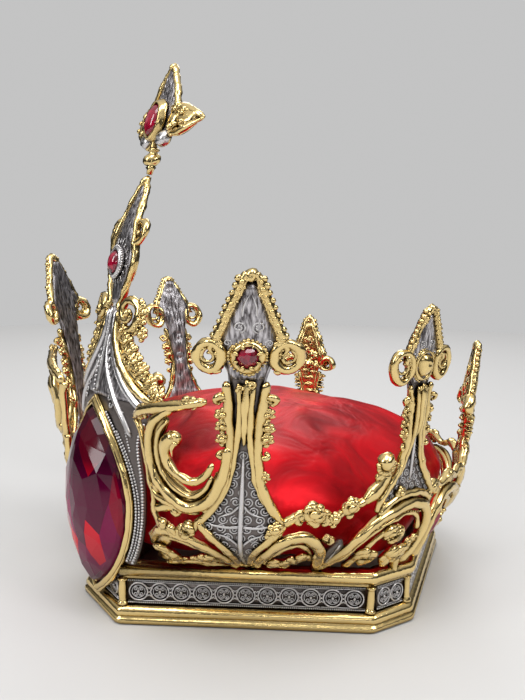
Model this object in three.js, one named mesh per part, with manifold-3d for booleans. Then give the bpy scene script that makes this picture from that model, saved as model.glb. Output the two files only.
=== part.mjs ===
// A tall ceremonial crown: an octagonal gilt base with silver filigree panels, six leaf points and a
// front spire carrying a finial, a large marquise stone on the front, an openwork gallery and a soft
// domed cap inside. Millimetres, +Z up. The crown faces -Y and is mirrored left to right about X = 0.
// Angles round the body are measured in degrees from the front (-Y) towards +X.
import * as THREE from 'three';
import { mergeVertices } from 'three/addons/utils/BufferGeometryUtils.js';
import Module from 'manifold-3d';

const wasm = await Module();
wasm.setup();

// ---- driving dimensions ----
const GAP = 0.4;                 // clearance left between neighbouring pieces
const FOOT_H = 3;                // flared foot of the bottom rim
const RIM_H = 9.5;               // top of the bottom rim
const BAND_H = 23.5;             // top of the filigree panels
const LEDGE_H = 32.5;            // top of the ledge that the gallery stands on
const PANEL_INSET = 4;           // panels stand back from the foot's edge
const PANEL_T = 2;               // thickness of a filigree panel
const LINER_T = 1.6;             // thickness of the head lining
const SHOULDER_Z = 70;           // height where the body has swelled to its full plan
const WRAP_R = 118;              // one unrolled millimetre is 1/118 of a radian round the body
const PLATE_T = 2.2;             // silver plates
const FRAME_T = 4.4;             // gold frames round the plates
const FRAME_W = 3;               // width of a gold frame
const BAR_R = 1.9;               // radius of the gallery bars
const SCROLL_R = 2.8;            // radius of the big front scrolls
const FRONT_BOW = 78;            // radius of the front plaque's sideways bow
const GEM_Z = 61.9;              // middle of the front stone
const GEM_A = 27.5;              // half its width
const GEM_B = 48;                // half its height
const SPIRE_TOP = 225;
const FINIAL_Z = 253;            // middle of the finial's stone

// Base corners of the right half, front to back, on the foot's outer edge.
const HALF_BASE = [[22, -105], [100.4, -1], [100.4, 26], [36, 112]];

// Plan radius of the body at the shoulder, and how far it then flares in the next 100 mm, by angle.
const SHOULDER_PLAN = [[0, 103], [18, 104], [30, 114], [42, 119], [53, 120], [70, 115], [90, 111],
  [112, 109], [128, 111], [140, 114], [160, 114], [180, 112]];
const FLARE = [[0, 4], [25, 12], [53, 21.5], [90, 16.5], [140, 8], [180, 4]];

// Distance of the front face ahead of the axis, by height, up through the spire and the finial.
const FRONT_LINE = [[10, 102.7], [GEM_Z, 102.9], [110, 102.7], [145, 95.1], [182, 89], [198, 85.8],
  [SPIRE_TOP, 73.7], [239, 70.3], [FINIAL_Z, 66.5], [282, 58.2]];

// The six points: angle at the foot and at the tip, heights of the stone and of the tip, and width scale.
const POINTS = [
  { name: 'front', foot: 50, tip: 53.3, head: 147.5, top: 183.3, wide: 1, vee: true, stone: true },
  { name: 'side', foot: 94.5, tip: 90, head: 140, top: 167.3, wide: 0.95, vee: false, stone: false },
  { name: 'back', foot: 141, tip: 139.4, head: 103, top: 139.6, wide: 0.95, vee: true, stone: false },
];

const COLOURS = {
  gold: { color: 0xd9b25a, roughness: 0.25, metalness: 1 },
  silver: { color: 0x8c8884, roughness: 0.45, metalness: 1 },
  ruby: { color: 0x8a0620, roughness: 0.08, metalness: 0 },
  satin: { color: 0xb0101c, roughness: 0.5, metalness: 0 },
  leather: { color: 0x4a2a1e, roughness: 0.8, metalness: 0 },
};
const material = Object.fromEntries(
  Object.entries(COLOURS).map(([name, look]) => [name, new THREE.MeshStandardMaterial(look)]));

const crown = new THREE.Group();
const degrees = THREE.MathUtils.degToRad;

function add(name, geometry, finish) {
  const mesh = new THREE.Mesh(geometry, material[finish]);
  mesh.name = name;
  crown.add(mesh);
}

// ---- curves and maps ----

// Smooth value between [x, value] keys.
function along(keys, x) {
  if (x <= keys[0][0]) return keys[0][1];
  const last = keys.length - 1;
  if (x >= keys[last][0]) return keys[last][1];
  const k = keys.findIndex((key) => key[0] > x) - 1;
  const slope = (i) => {
    const a = keys[Math.max(i - 1, 0)];
    const b = keys[Math.min(i + 1, last)];
    return (b[1] - a[1]) / (b[0] - a[0]);
  };
  const [x0, y0] = keys[k];
  const [x1, y1] = keys[k + 1];
  const span = x1 - x0;
  const t = (x - x0) / span;
  const t2 = t * t;
  const t3 = t2 * t;
  return (2 * t3 - 3 * t2 + 1) * y0 + (t3 - 2 * t2 + t) * span * slope(k)
    + (3 * t2 - 2 * t3) * y1 + (t3 - t2) * span * slope(k + 1);
}

const mirrored = HALF_BASE.map(([x, y]) => [-x, y]).reverse();
const BASE = [...HALF_BASE, ...mirrored].map(([x, y]) => new THREE.Vector2(x, y));

// The base outline moved outwards by a distance, corner by corner.
function baseOutline(offset) {
  return BASE.map((corner, i) => {
    const before = BASE[(i + BASE.length - 1) % BASE.length];
    const after = BASE[(i + 1) % BASE.length];
    const d1 = corner.clone().sub(before).normalize();
    const d2 = after.clone().sub(corner).normalize();
    const n1 = new THREE.Vector2(d1.y, -d1.x);
    const n2 = new THREE.Vector2(d2.y, -d2.x);
    const reach = offset / (1 + n1.dot(n2));
    return corner.clone().add(n1.add(n2).multiplyScalar(reach));
  });
}

// Radius of the base outline in a direction given by its angle from the front.
function baseRadius(angle, offset) {
  const direction = new THREE.Vector2(Math.sin(angle), -Math.cos(angle));
  const corners = baseOutline(offset);
  let radius = Infinity;
  corners.forEach((a, i) => {
    const edge = corners[(i + 1) % corners.length].clone().sub(a);
    const normal = new THREE.Vector2(edge.y, -edge.x).normalize();
    const facing = normal.dot(direction);
    if (facing > 0.01) radius = Math.min(radius, normal.dot(a) / facing);
  });
  return radius;
}

// The body's guide surface: the base outline at the ledge, swelling to the shoulder plan, then flaring.
function bodyRadius(angle, z) {
  const turn = Math.abs(THREE.MathUtils.radToDeg(Math.atan2(Math.sin(angle), Math.cos(angle))));
  const rise = THREE.MathUtils.clamp((z - LEDGE_H) / (SHOULDER_Z - LEDGE_H), 0, 1);
  const swell = Math.sin(rise * Math.PI / 2);
  const base = baseRadius(angle, -PANEL_INSET);
  const above = Math.max(0, (z - SHOULDER_Z) / 100);
  return base + (along(SHOULDER_PLAN, turn) - base) * swell + along(FLARE, turn) * above ** 1.2;
}

// Moves every vertex of a geometry by a function, then welds it into one closed surface.
function reshape(geometry, move) {
  const shaped = geometry.index ? geometry.toNonIndexed() : geometry.clone();
  shaped.deleteAttribute('normal');
  shaped.deleteAttribute('uv');
  const position = shaped.getAttribute('position');
  const point = new THREE.Vector3();
  for (let i = 0; i < position.count; i += 1) {
    point.fromBufferAttribute(position, i);
    const moved = move(point.x, point.y, point.z);
    position.setXYZ(i, moved.x, moved.y, moved.z);
  }
  return mergeVertices(shaped, 1e-3);
}

function unmoved(x, y, z) {
  return new THREE.Vector3(x, y, z);
}

// Unrolled body coordinates (across, up, outwards) to a place on the crown.
function onBody(across, up, out) {
  const angle = across / WRAP_R;
  const radius = bodyRadius(angle, up) + out;
  return new THREE.Vector3(radius * Math.sin(angle), -radius * Math.cos(angle), up);
}

// Front plaque coordinates (across, up, forwards) to a place on the crown.
function onFront(across, up, out) {
  const turn = across / FRONT_BOW;
  const y = -along(FRONT_LINE, up) + across * turn / 2;
  return new THREE.Vector3(across + out * Math.sin(turn), y - out * Math.cos(turn), up);
}

// Swaps left and right: a mirrored geometry with its faces still pointing outwards.
function mirror(geometry) {
  const flipped = geometry.clone();
  flipped.scale(-1, 1, 1);
  const index = flipped.getIndex();
  for (let i = 0; i < index.count; i += 3) {
    const keep = index.getX(i);
    index.setX(i, index.getX(i + 2));
    index.setX(i + 2, keep);
  }
  return flipped;
}

function addPair(name, geometry, finish) {
  add(`${name}_right`, geometry, finish);
  add(`${name}_left`, mirror(geometry), finish);
}

// ---- solids ----

function toManifold(geometry) {
  const vertProperties = Float32Array.from(geometry.getAttribute('position').array);
  const triVerts = Uint32Array.from(geometry.getIndex().array);
  return new wasm.Manifold(new wasm.Mesh({ numProp: 3, vertProperties, triVerts }));
}

function toGeometry(solid) {
  const mesh = solid.getMesh();
  const geometry = new THREE.BufferGeometry();
  geometry.setAttribute('position', new THREE.BufferAttribute(mesh.vertProperties, 3));
  geometry.setIndex(new THREE.BufferAttribute(mesh.triVerts, 1));
  return mergeVertices(geometry, 1e-3);
}

// A moulding that runs round the octagon: its closed profile is a list of [outward offset, height].
function octagonRing(profile) {
  const outlines = profile.map(([offset]) => baseOutline(offset));
  const closed = [...profile, profile[0]].map((point, i) => new THREE.Vector2(10 + i, 0));
  const ring = new THREE.LatheGeometry(closed, BASE.length);
  return reshape(ring, (x, y, z) => {
    const step = Math.round(Math.hypot(x, z) - 10) % profile.length;
    const side = (Math.round(Math.atan2(x, z) * BASE.length / (2 * Math.PI)) + BASE.length) % BASE.length;
    const corner = outlines[step][side];
    return new THREE.Vector3(corner.x, corner.y, profile[step][1]);
  });
}

// A flat shape extruded through its thickness, ready to be wrapped.
function slab(shape, thickness, back = -thickness / 2) {
  const geometry = new THREE.ExtrudeGeometry(shape, { depth: thickness, bevelEnabled: false });
  return geometry.translate(0, 0, back);
}

// A flat leaf in rows from the bottom up: half width at each height, with the foot's middle raised.
function leafSlab(heights, half, thickness, back, footRise = 0) {
  const box = new THREE.BoxGeometry(2, heights.length - 1, thickness, 2, heights.length - 1, 1);
  return reshape(box, (x, y, z) => {
    const row = Math.round(y + (heights.length - 1) / 2);
    const rise = row === 0 && x === 0 ? footRise : 0;
    return new THREE.Vector3(x * half(heights[row]), heights[row] + rise, z + back + thickness / 2);
  });
}

// A round bar along points that are already on the crown.
function bar(points, radius, steps, sides = 6) {
  const path = new THREE.CatmullRomCurve3(points, false, 'centripetal');
  const section = new THREE.Shape();
  section.absarc(0, 0, radius, 0, Math.PI * 2, false);
  const round = new THREE.Shape(section.getPoints(sides).slice(0, sides));
  const geometry = new THREE.ExtrudeGeometry(round, { steps, extrudePath: path });
  return reshape(geometry, unmoved);
}

// Pointed almond outline: half width at a height, for half width a and half height b.
function almond(a, b, height) {
  const radius = (a * a + b * b) / (2 * a);
  return Math.sqrt(Math.max(radius * radius - height * height, 0)) - (radius - a);
}

// A body turned on its outward axis, stretched to an almond or oval outline and set at a place.
// Its profile is a list of [outward growth, share of the outline, height above the surface].
function setting({ profile, a, b, pointed = false, sides = 14, at, place }) {
  const onAxis = profile[0][1] === 0;
  const steps = onAxis ? profile : [...profile, profile[0]];
  const turned = new THREE.LatheGeometry(
    steps.map((point, i) => new THREE.Vector2(onAxis && point[1] === 0 ? 0 : 10 + i, i)), sides);
  return reshape(turned, (x, y, z) => {
    const [grow, share, out] = steps[Math.round(y)];
    const angle = Math.atan2(-x, z);
    const high = b + grow * (pointed ? 1.6 : 1);
    const wide = a + grow;
    const up = high * Math.cos(angle) * share;
    const across = pointed
      ? Math.sign(Math.round(Math.sin(angle) * 1e6)) * almond(wide, high, high * Math.cos(angle)) * share
      : wide * Math.sin(angle) * share;
    return share === 0 ? place(at[0], at[1], out) : place(at[0] + across, at[1] + up, out);
  });
}

const STONE = [[0, 0, -2.6], [0, 0.6, -2.2], [0, 1, 0], [0, 0.66, 2.2], [0, 0, 2.8]];
const COLLET = [[GAP, 1, -2.4], [2, 1, -2.4], [2.2, 1, -0.6], [1.3, 1, 0.9], [GAP, 1, 0.9]];
const BOSS = [[0, 0, 0], [0, 1, 0], [0, 0.86, 1.8], [0, 0.5, 3.2], [0, 0, 3.7]];

// ---- base ----

function baseRing() {
  const rim = octagonRing([[-6.5, 0], [0, 0], [0, FOOT_H], [-1.2, 4.6], [-1.2, RIM_H - 1.6],
    [-3.2, RIM_H], [-6.5, RIM_H]]);
  let solid = toManifold(rim);
  baseOutline(-PANEL_INSET + 0.6).forEach((corner) => {
    const height = BAND_H - GAP - (RIM_H - 1);
    const post = new THREE.CylinderGeometry(2.2, 2.2, height, 8);
    post.rotateX(Math.PI / 2);
    const inward = corner.clone().setLength(1.4);
    post.translate(corner.x - inward.x, corner.y - inward.y, RIM_H - 1 + height / 2);
    solid = solid.add(toManifold(reshape(post, unmoved)));
  });
  add('bottom_rim', toGeometry(solid), 'gold');
}

function ledge() {
  const inner = -PANEL_INSET - PANEL_T - 1;
  const ring = octagonRing([[inner, BAND_H], [-3, BAND_H], [-0.6, BAND_H + 2.2], [-0.4, LEDGE_H - 3],
    [-2.4, LEDGE_H - 0.5], [inner, LEDGE_H - 0.5]]);
  const notch = new THREE.BoxGeometry(54, 20, 30).translate(0, HALF_BASE[0][1] - 4.6, LEDGE_H);
  const solid = toManifold(ring).subtract(toManifold(reshape(notch, unmoved)));
  add('ledge_rim', toGeometry(solid), 'gold');
}

const PANEL_NAMES = ['front_right', 'right', 'back_right', 'back', 'back_left', 'left', 'front_left',
  'front'];

function bandPanels() {
  const outer = baseOutline(-PANEL_INSET);
  const margin = 3.4;
  PANEL_NAMES.forEach((name, i) => {
    const a = outer[i];
    const b = outer[(i + 1) % outer.length];
    const edge = b.clone().sub(a);
    const height = BAND_H - RIM_H - 2 * GAP;
    const panel = new THREE.BoxGeometry(edge.length() - 2 * margin, PANEL_T, height);
    const middle = a.clone().add(b).multiplyScalar(0.5);
    const inward = new THREE.Vector2(-edge.y, edge.x).setLength(PANEL_T / 2);
    panel.rotateZ(edge.angle());
    panel.translate(middle.x + inward.x, middle.y + inward.y, RIM_H + GAP + height / 2);
    add(`band_panel_${name}`, reshape(panel, unmoved), 'silver');
  });
}

function headLining() {
  const outer = -PANEL_INSET - PANEL_T - 1.4;
  add('head_lining', octagonRing([[outer - LINER_T, 1], [outer, 1], [outer, LEDGE_H - 3],
    [outer - LINER_T, LEDGE_H - 3]]), 'leather');
}

// ---- the six leaf points ----

// Half widths of a point's silver plate by height, on the tallest point.
const PLATE_WIDTH = [[34.5, 1.2], [41, 2.2], [48, 3.2], [56, 6], [64, 12], [70, 16.5], [77, 12], [87, 7],
  [98, 4.6], [111, 4], [124, 5], [137, 6.2], [146, 8.2], [153, 10.6], [162, 7.8], [171, 4.4], [178, 1.6]];
const LOOP = { across: 14.9, up: 147.5, outer: 6.2, inner: 3.1, after: 137 };
const ARCH_FOOT = 76;            // height of an arched plate's corners
const ARCH_RISE = 6;             // how far the foot of an arched plate is hollowed
const NECK_Z = 70;               // the plate's widest height
const TALLEST = 183.3;           // tip of the tallest point
const PLATE_TIP = 180.6;         // where its silver plate ends

// The outline of one point: its rows of heights, its half width and its place on the body.
function pointPlan({ foot, tip, head, top, wide, vee }) {
  const stretch = (z) => {
    if (z <= NECK_Z) return z;
    if (z <= LOOP.up) return NECK_Z + (z - NECK_Z) * (head - NECK_Z) / (LOOP.up - NECK_Z);
    return head + (z - LOOP.up) * (top - head) / (TALLEST - LOOP.up);
  };
  const place = (across, up, out) => {
    const rise = (up - LEDGE_H) / (top - LEDGE_H);
    const middle = degrees(foot + (tip - foot) * rise) * WRAP_R;
    return onBody(middle + across, up, out);
  };
  const widths = vee ? PLATE_WIDTH : [[ARCH_FOOT, 17.5], ...PLATE_WIDTH.slice(7)];
  const bottom = widths[0][0];
  const rows = widths.map(([z]) => z).filter((z) => vee || z === bottom || z > bottom + ARCH_RISE);
  const half = (z) => along(widths, z) * wide;
  return { stretch, place, half, rows, bottom };
}

function flipAcross(points) {
  return points.map((p) => new THREE.Vector2(-p.x, p.y)).reverse();
}

function pointPlate({ name, vee }, { stretch, place, half, rows }) {
  const levels = [...rows.map(stretch), stretch(PLATE_TIP)];
  const widths = [...rows.map(half), 0.4];
  const widthAt = (level) => widths[levels.indexOf(level)];
  const plate = leafSlab(levels, widthAt, PLATE_T, -PLATE_T / 2, vee ? 0 : ARCH_RISE);
  addPair(`${name}_point_plate`, reshape(plate, place), 'silver');
}

function pointFrame({ name, top, wide, vee }, { stretch, place, half, rows, bottom }) {
  const loopUp = stretch(LOOP.up);
  const drop = vee ? 1.4 : FRAME_W;
  const outside = [];
  rows.forEach((z) => {
    if (Math.abs(z - LOOP.up) > LOOP.outer * 0.8) {
      outside.push(new THREE.Vector2(half(z) + FRAME_W, stretch(z) - (z === bottom ? drop : 0)));
    }
    if (z === LOOP.after) {
      for (let turn = -60; turn <= 60; turn += 30) {
        outside.push(new THREE.Vector2(LOOP.across + LOOP.outer * Math.cos(degrees(turn)), 0)
          .multiplyScalar(wide).setY(loopUp + LOOP.outer * wide * Math.sin(degrees(turn))));
      }
    }
  });
  const arch = stretch(bottom) + ARCH_RISE;
  const archOutside = vee ? [] : [new THREE.Vector2(0, arch - FRAME_W)];
  const archInside = vee ? [] : [new THREE.Vector2(0, arch - 2 * GAP)];
  const inside = rows.map((z) => new THREE.Vector2(half(z) + GAP, stretch(z)));
  inside[0].add(new THREE.Vector2(GAP, -2 * GAP));
  const insideTip = new THREE.Vector2(0, stretch(PLATE_TIP) + 1);

  const outsideTip = new THREE.Vector2(0, top);
  const frame = new THREE.Shape([...outside, outsideTip, ...flipAcross(outside), ...archOutside]);
  frame.holes.push(new THREE.Path([...inside, insideTip, ...flipAcross(inside), ...archInside]));
  [1, -1].forEach((side) => {
    const hole = new THREE.Path();
    hole.absarc(side * LOOP.across * wide, loopUp, LOOP.inner * wide, 0, Math.PI * 2, false);
    frame.holes.push(new THREE.Path(hole.getPoints(8).slice(0, 8)));
  });
  addPair(`${name}_point_frame`, reshape(slab(frame, FRAME_T), place), 'gold');
}

function pointPieces(point) {
  const plan = pointPlan(point);
  pointPlate(point, plan);
  pointFrame(point, plan);
  const at = [0, plan.stretch(LOOP.up)];
  const lift = PLATE_T / 2 + GAP;
  if (point.stone) {
    const place = (across, up, out) => plan.place(across, up, out + lift + 2.6);
    const shape = { a: 3.6, b: 4.4, at, place };
    addPair(`${point.name}_point_stone`, setting({ ...shape, profile: STONE }), 'ruby');
    addPair(`${point.name}_point_collet`, setting({ ...shape, profile: COLLET }), 'gold');
  } else {
    const place = (across, up, out) => plan.place(across, up, out + lift);
    addPair(`${point.name}_point_boss`, setting({ profile: BOSS, a: 3.6, b: 6, at, place }), 'gold');
  }
}

// ---- the openwork gallery between the points ----

// Bars are given as [angle, height] along the body.
function bodyBar(route, radius, steps, out = 0) {
  const points = route.map(([angle, z]) => onBody(degrees(angle) * WRAP_R, z, out));
  return bar(points, radius, steps);
}

function gallery() {
  const seat = LEDGE_H + BAR_R + 0.3;
  addPair('gallery_front', bodyBar([[24.5, 48], [27.5, 56], [32, 61.5], [37, 61], [41.5, 57], [44.6, 49],
    [46.2, 41], [46.6, seat]], BAR_R, 20), 'gold');
  addPair('gallery_side', bodyBar([[53.6, seat], [54.4, 44], [56.6, 54], [60.5, 62], [65, 62.5], [68.5, 56],
    [71, 46], [73.5, seat + 1], [76, 45], [78.5, 56], [83, 65], [89, 69], [95, 70], [101, 65.5],
    [103.5, 55], [101.5, 44], [98.5, seat]], BAR_R, 46), 'gold');
  addPair('gallery_rear', bodyBar([[104.6, seat], [105.6, 45], [107.8, 59], [113, 66.5], [119, 66],
    [126, 59], [132, 47], [135, seat]], BAR_R, 26), 'gold');
  add('gallery_back', bodyBar([[147, seat], [149, 48], [155, 60], [163, 63], [170, 57], [175, 45],
    [180, seat + 2], [185, 45], [190, 57], [197, 63], [205, 60], [211, 48], [213, seat]],
  BAR_R, 48), 'gold');
}

function frontScrolls() {
  const route = [[44.5, 127], [38, 122.5], [33.5, 115], [31.5, 103], [32.5, 91], [36.5, 82], [40.5, 80.5],
    [42.2, 87]];
  addPair('front_scroll', bodyBar(route, SCROLL_R, 30, 3), 'gold');
}

function sideStones() {
  const at = [degrees(113) * WRAP_R, 47.5];
  const place = (across, up, out) => onBody(across, up, out + 1);
  addPair('side_stone', setting({ profile: STONE, a: 4.6, b: 10, pointed: true, at, place }), 'ruby');
  addPair('side_collet', setting({ profile: COLLET, a: 4.6, b: 10, pointed: true, at, place }), 'gold');
}

// ---- the front: great stone, plaque, spire and finial ----

const GEM_PROFILE = [[0, 0, -1], [0, 0.7, -0.6], [0, 1, 2.4], [0, 0.66, 12], [0, 0.3, 16.2], [0, 0, 17]];
const BEZEL_PROFILE = [[GAP, 1, 0], [2.6, 1, 0], [3.2, 1, 2.2], [1.4, 1, 4.4], [GAP, 1, 4.4]];

function frontStone() {
  const at = [0, GEM_Z];
  const place = (across, up, out) => onFront(across, up, out);
  const shape = { a: GEM_A, b: GEM_B, pointed: true, sides: 24, at, place };
  add('front_stone', setting({ ...shape, profile: GEM_PROFILE }), 'ruby');
  add('front_bezel', setting({ ...shape, profile: BEZEL_PROFILE }), 'gold');
}

// Half widths of the silver plaque behind the great stone, with its shoulders and the spire's stem.
const PLAQUE_WIDTH = [[33.6, 30], [42, 33.5], [54, 36.2], [68, 37], [80, 36.5], [93, 35], [102, 36],
  [110, 40], [115, 40], [122, 26], [130, 15], [139, 8], [148, 4], [159.5, 3.2]];

function plaque() {
  const growA = GEM_A + 3.2 + GAP;
  const growB = GEM_B + 5.1 + 1.6 * GAP;
  const inner = (z) => almond(growA, growB, z - GEM_Z);
  const rows = PLAQUE_WIDTH.map(([z]) => z);
  const right = rows.map((z) => new THREE.Vector2(along(PLAQUE_WIDTH, z), z));
  const left = right.map((p) => new THREE.Vector2(-p.x, p.y)).reverse();
  const cutRows = rows.filter((z) => z > rows[0] && z < GEM_Z + growB);
  const cutRight = [rows[0], ...cutRows].map((z) => new THREE.Vector2(inner(z), z));
  const cutLeft = cutRight.map((p) => new THREE.Vector2(-p.x, p.y));
  const top = new THREE.Vector2(0, GEM_Z + growB);
  const outline = [...right, ...left, ...cutLeft, top, ...cutRight.reverse()];
  add('front_plaque', reshape(slab(new THREE.Shape(outline), PLATE_T, 0), onFront), 'silver');
}

const SPIRE_WIDTH = [[161.5, 3], [167, 5.4], [175, 8.2], [182, 9.8], [190, 9.2], [202, 6.4], [213, 3.4],
  [221, 1.2]];
const SPIRE_LOOP = { across: 12.3, up: 196.4, outer: 4.6 };

function spire() {
  const rows = SPIRE_WIDTH.map(([z]) => z);
  const edge = (grow) => rows.map((z) => new THREE.Vector2(along(SPIRE_WIDTH, z) + grow, z));
  const blade = new THREE.Shape([...edge(0), ...flipAcross(edge(0))]);
  add('spire_blade', reshape(slab(blade, PLATE_T, 0), onFront), 'silver');

  const outer = [];
  edge(FRAME_W).forEach((p, i) => {
    outer.push(i === 0 ? new THREE.Vector2(p.x, p.y - 1.4) : p);
    if (p.y === 190) {
      for (let turn = -75; turn <= 75; turn += 30) {
        const angle = degrees(turn);
        outer.push(new THREE.Vector2(SPIRE_LOOP.across + SPIRE_LOOP.outer * Math.cos(angle),
          SPIRE_LOOP.up + SPIRE_LOOP.outer * Math.sin(angle)));
      }
    }
  });
  const tip = new THREE.Vector2(0, SPIRE_TOP - 0.6);
  const frame = new THREE.Shape([...outer, tip, ...flipAcross(outer)]);
  const inside = edge(GAP);
  inside[0].y -= GAP;
  frame.holes.push(new THREE.Path([...inside, new THREE.Vector2(0, SPIRE_TOP - 3), ...flipAcross(inside)]));
  add('spire_frame', reshape(slab(frame, FRAME_T, -0.8), onFront), 'gold');

  const place = (across, up, out) => onFront(across, up, out + PLATE_T + GAP + 2.6);
  const at = [0, 182];
  add('spire_stone', setting({ profile: STONE, a: 4.6, b: 6, at, place }), 'ruby');
  add('spire_collet', setting({ profile: COLLET, a: 4.6, b: 6, at, place }), 'silver');
}

function spireScrolls() {
  const curl = [];
  for (let turn = 130; turn >= -80; turn -= 35) {
    const angle = degrees(turn);
    const radius = 5.4 + 3 * (130 - turn) / 210;
    curl.push([15.5 + radius * Math.cos(angle), 156 + radius * Math.sin(angle)]);
  }
  const route = [[12, 144], [16, 138], [24, 131], [34, 124.6], [40, 122]];
  const points = [...curl, ...route].map(([x, z]) => onFront(x, z, 1.4));
  addPair('spire_scroll', bar(points, 1.9, 30), 'gold');
}

const FINIAL_WIDTH = [[243.6, 4], [248, 9.6], [253, 11], [259, 9], [267, 6], [275, 3], [279, 1]];

function finial() {
  const neckProfile = [[0, 226], [1.6, 226], [1.8, 228.4], [3.2, 230.6], [4.2, 233.4], [3.2, 236.2],
    [1.8, 238], [2.2, 239], [0, 239]].map(([r, z]) => new THREE.Vector2(r, z));
  const neck = new THREE.LatheGeometry(neckProfile, 12).rotateX(Math.PI / 2);
  add('finial_neck', reshape(neck, (x, y, z) => new THREE.Vector3(x, y - along(FRONT_LINE, z) - 1, z)), 'gold');

  const right = FINIAL_WIDTH.map(([z, w]) => new THREE.Vector2(w, z));
  const leaf = new THREE.Shape([...right, ...flipAcross(right)]);
  add('finial_leaf', reshape(slab(leaf, PLATE_T, 0), onFront), 'silver');

  const rim = FINIAL_WIDTH.map(([z, w]) => new THREE.Vector2(w + FRAME_W, z));
  const lobe = [[6, 240], [15, 241.5], [21.5, 245.5], [30, 252], [21.5, 257.4], [14, 259.6]].map(
    ([x, z]) => new THREE.Vector2(x, z));
  const outer = [...lobe, ...rim.slice(4)];
  const frame = new THREE.Shape([...outer, new THREE.Vector2(0, 282), ...flipAcross(outer)]);
  const inside = FINIAL_WIDTH.map(([z, w]) => new THREE.Vector2(w + GAP, z));
  inside[0].y -= GAP;
  frame.holes.push(new THREE.Path([...inside, new THREE.Vector2(0, 280.2), ...flipAcross(inside)]));
  add('finial_frame', reshape(slab(frame, FRAME_T, -0.8), onFront), 'gold');

  const place = (across, up, out) => onFront(across, up, out + PLATE_T + GAP + 3.4);
  const at = [0, FINIAL_Z];
  const deep = COLLET.map(([grow, share, out]) => [grow, share, out < -1 ? -3.2 : out]);
  add('finial_stone', setting({ profile: STONE, a: 5, b: 7, at, place }), 'ruby');
  add('finial_bezel', setting({ profile: deep, a: 5, b: 7, at, place }), 'gold');
}

// ---- the cap ----

// Cap section as [share of the body radius less its clearance, height]; the inside is the head hollow.
const CAP_CLEARANCE = 9;
const CAP_SECTION = [[0, 76], [0.45, 74], [0.7, 65], [0.8, 50], [0.82, 35.5], [0.93, 35.5], [0.99, 46],
  [1, 58], [0.96, 69], [0.86, 79], [0.68, 88.5], [0.45, 95], [0.22, 98.5], [0, 99.5]];

function cap() {
  const profile = CAP_SECTION.map(([share], i) => new THREE.Vector2(share === 0 ? 0 : 10 + i, i));
  const turned = new THREE.LatheGeometry(profile, 28);
  add('cap', reshape(turned, (x, y, z) => {
    const [share, up] = CAP_SECTION[Math.round(y)];
    const angle = Math.atan2(x, z);
    const level = THREE.MathUtils.clamp(up, 50, SHOULDER_Z);
    let radius = share * (bodyRadius(angle, level) - CAP_CLEARANCE);
    if (up < 45) radius = Math.min(radius, baseRadius(angle, share < 0.9 ? -14.4 : -9.4));
    return new THREE.Vector3(radius * Math.sin(angle), -radius * Math.cos(angle), up);
  }), 'satin');
}

baseRing();
ledge();
bandPanels();
headLining();
POINTS.forEach(pointPieces);
gallery();
frontScrolls();
sideStones();
frontStone();
plaque();
spire();
spireScrolls();
finial();
cap();

// The origin is the middle of the bounding box's underside.
crown.updateMatrixWorld(true);
const box = new THREE.Box3().setFromObject(crown, true);
crown.position.y = -(box.min.y + box.max.y) / 2;

export default crown;
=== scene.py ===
"""Looks of the crown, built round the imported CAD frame. Lengths in the helpers are millimetres."""
from math import copysign, cos, degrees, hypot, pi, radians, sin, sqrt

import bpy
import bmesh
import numpy as np
from mathutils import Matrix, Vector


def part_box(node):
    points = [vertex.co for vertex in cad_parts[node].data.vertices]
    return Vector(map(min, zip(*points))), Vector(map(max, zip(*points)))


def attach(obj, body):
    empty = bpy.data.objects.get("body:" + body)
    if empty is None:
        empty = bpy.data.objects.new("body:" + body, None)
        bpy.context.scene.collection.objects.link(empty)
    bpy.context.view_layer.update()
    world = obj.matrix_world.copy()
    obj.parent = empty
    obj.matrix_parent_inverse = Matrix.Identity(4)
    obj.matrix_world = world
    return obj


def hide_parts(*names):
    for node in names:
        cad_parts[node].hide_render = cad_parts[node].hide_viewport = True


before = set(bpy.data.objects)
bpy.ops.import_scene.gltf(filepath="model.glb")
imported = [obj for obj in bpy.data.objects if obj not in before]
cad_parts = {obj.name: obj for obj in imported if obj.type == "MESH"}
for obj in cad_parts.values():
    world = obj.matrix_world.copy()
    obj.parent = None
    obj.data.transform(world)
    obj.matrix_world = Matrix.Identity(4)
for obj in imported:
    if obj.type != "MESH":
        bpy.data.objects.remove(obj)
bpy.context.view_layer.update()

MM = 0.001
CAST_DEPTH = 0.75                # depth of the unevenness of the gold castings
CORNER = 2.0                     # length eased off each corner of the base
rng = np.random.default_rng(7)

# ---- the part's driving dimensions, as in its CAD source ----
RIM_H, BAND_H, LEDGE_H, PANEL_INSET, SHOULDER_Z, WRAP_R = 9.5, 23.5, 32.5, 4.0, 70.0, 118.0
FRONT_BOW, GEM_Z, GEM_A, GEM_B, SPIRE_TOP, FINIAL_Z = 78.0, 61.9, 27.5, 48.0, 225.0, 253.0
HALF_BASE = [[22, -105], [100.4, -1], [100.4, 26], [36, 112]]
SHOULDER_PLAN = [[0, 103], [18, 104], [30, 114], [42, 119], [53, 120], [70, 115], [90, 111], [112, 109],
                 [128, 111], [140, 114], [160, 114], [180, 112]]
FLARE = [[0, 4], [25, 12], [53, 21.5], [90, 16.5], [140, 8], [180, 4]]
FRONT_LINE = [[10, 102.7], [GEM_Z, 102.9], [110, 102.7], [145, 95.1], [182, 89], [198, 85.8],
              [SPIRE_TOP, 73.7], [239, 70.3], [FINIAL_Z, 66.5], [282, 58.2]]
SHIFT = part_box("bottom_rim")[0].y / MM - HALF_BASE[0][1]
DEG = WRAP_R * pi / 180          # unrolled millimetres in one degree round the body

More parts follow.
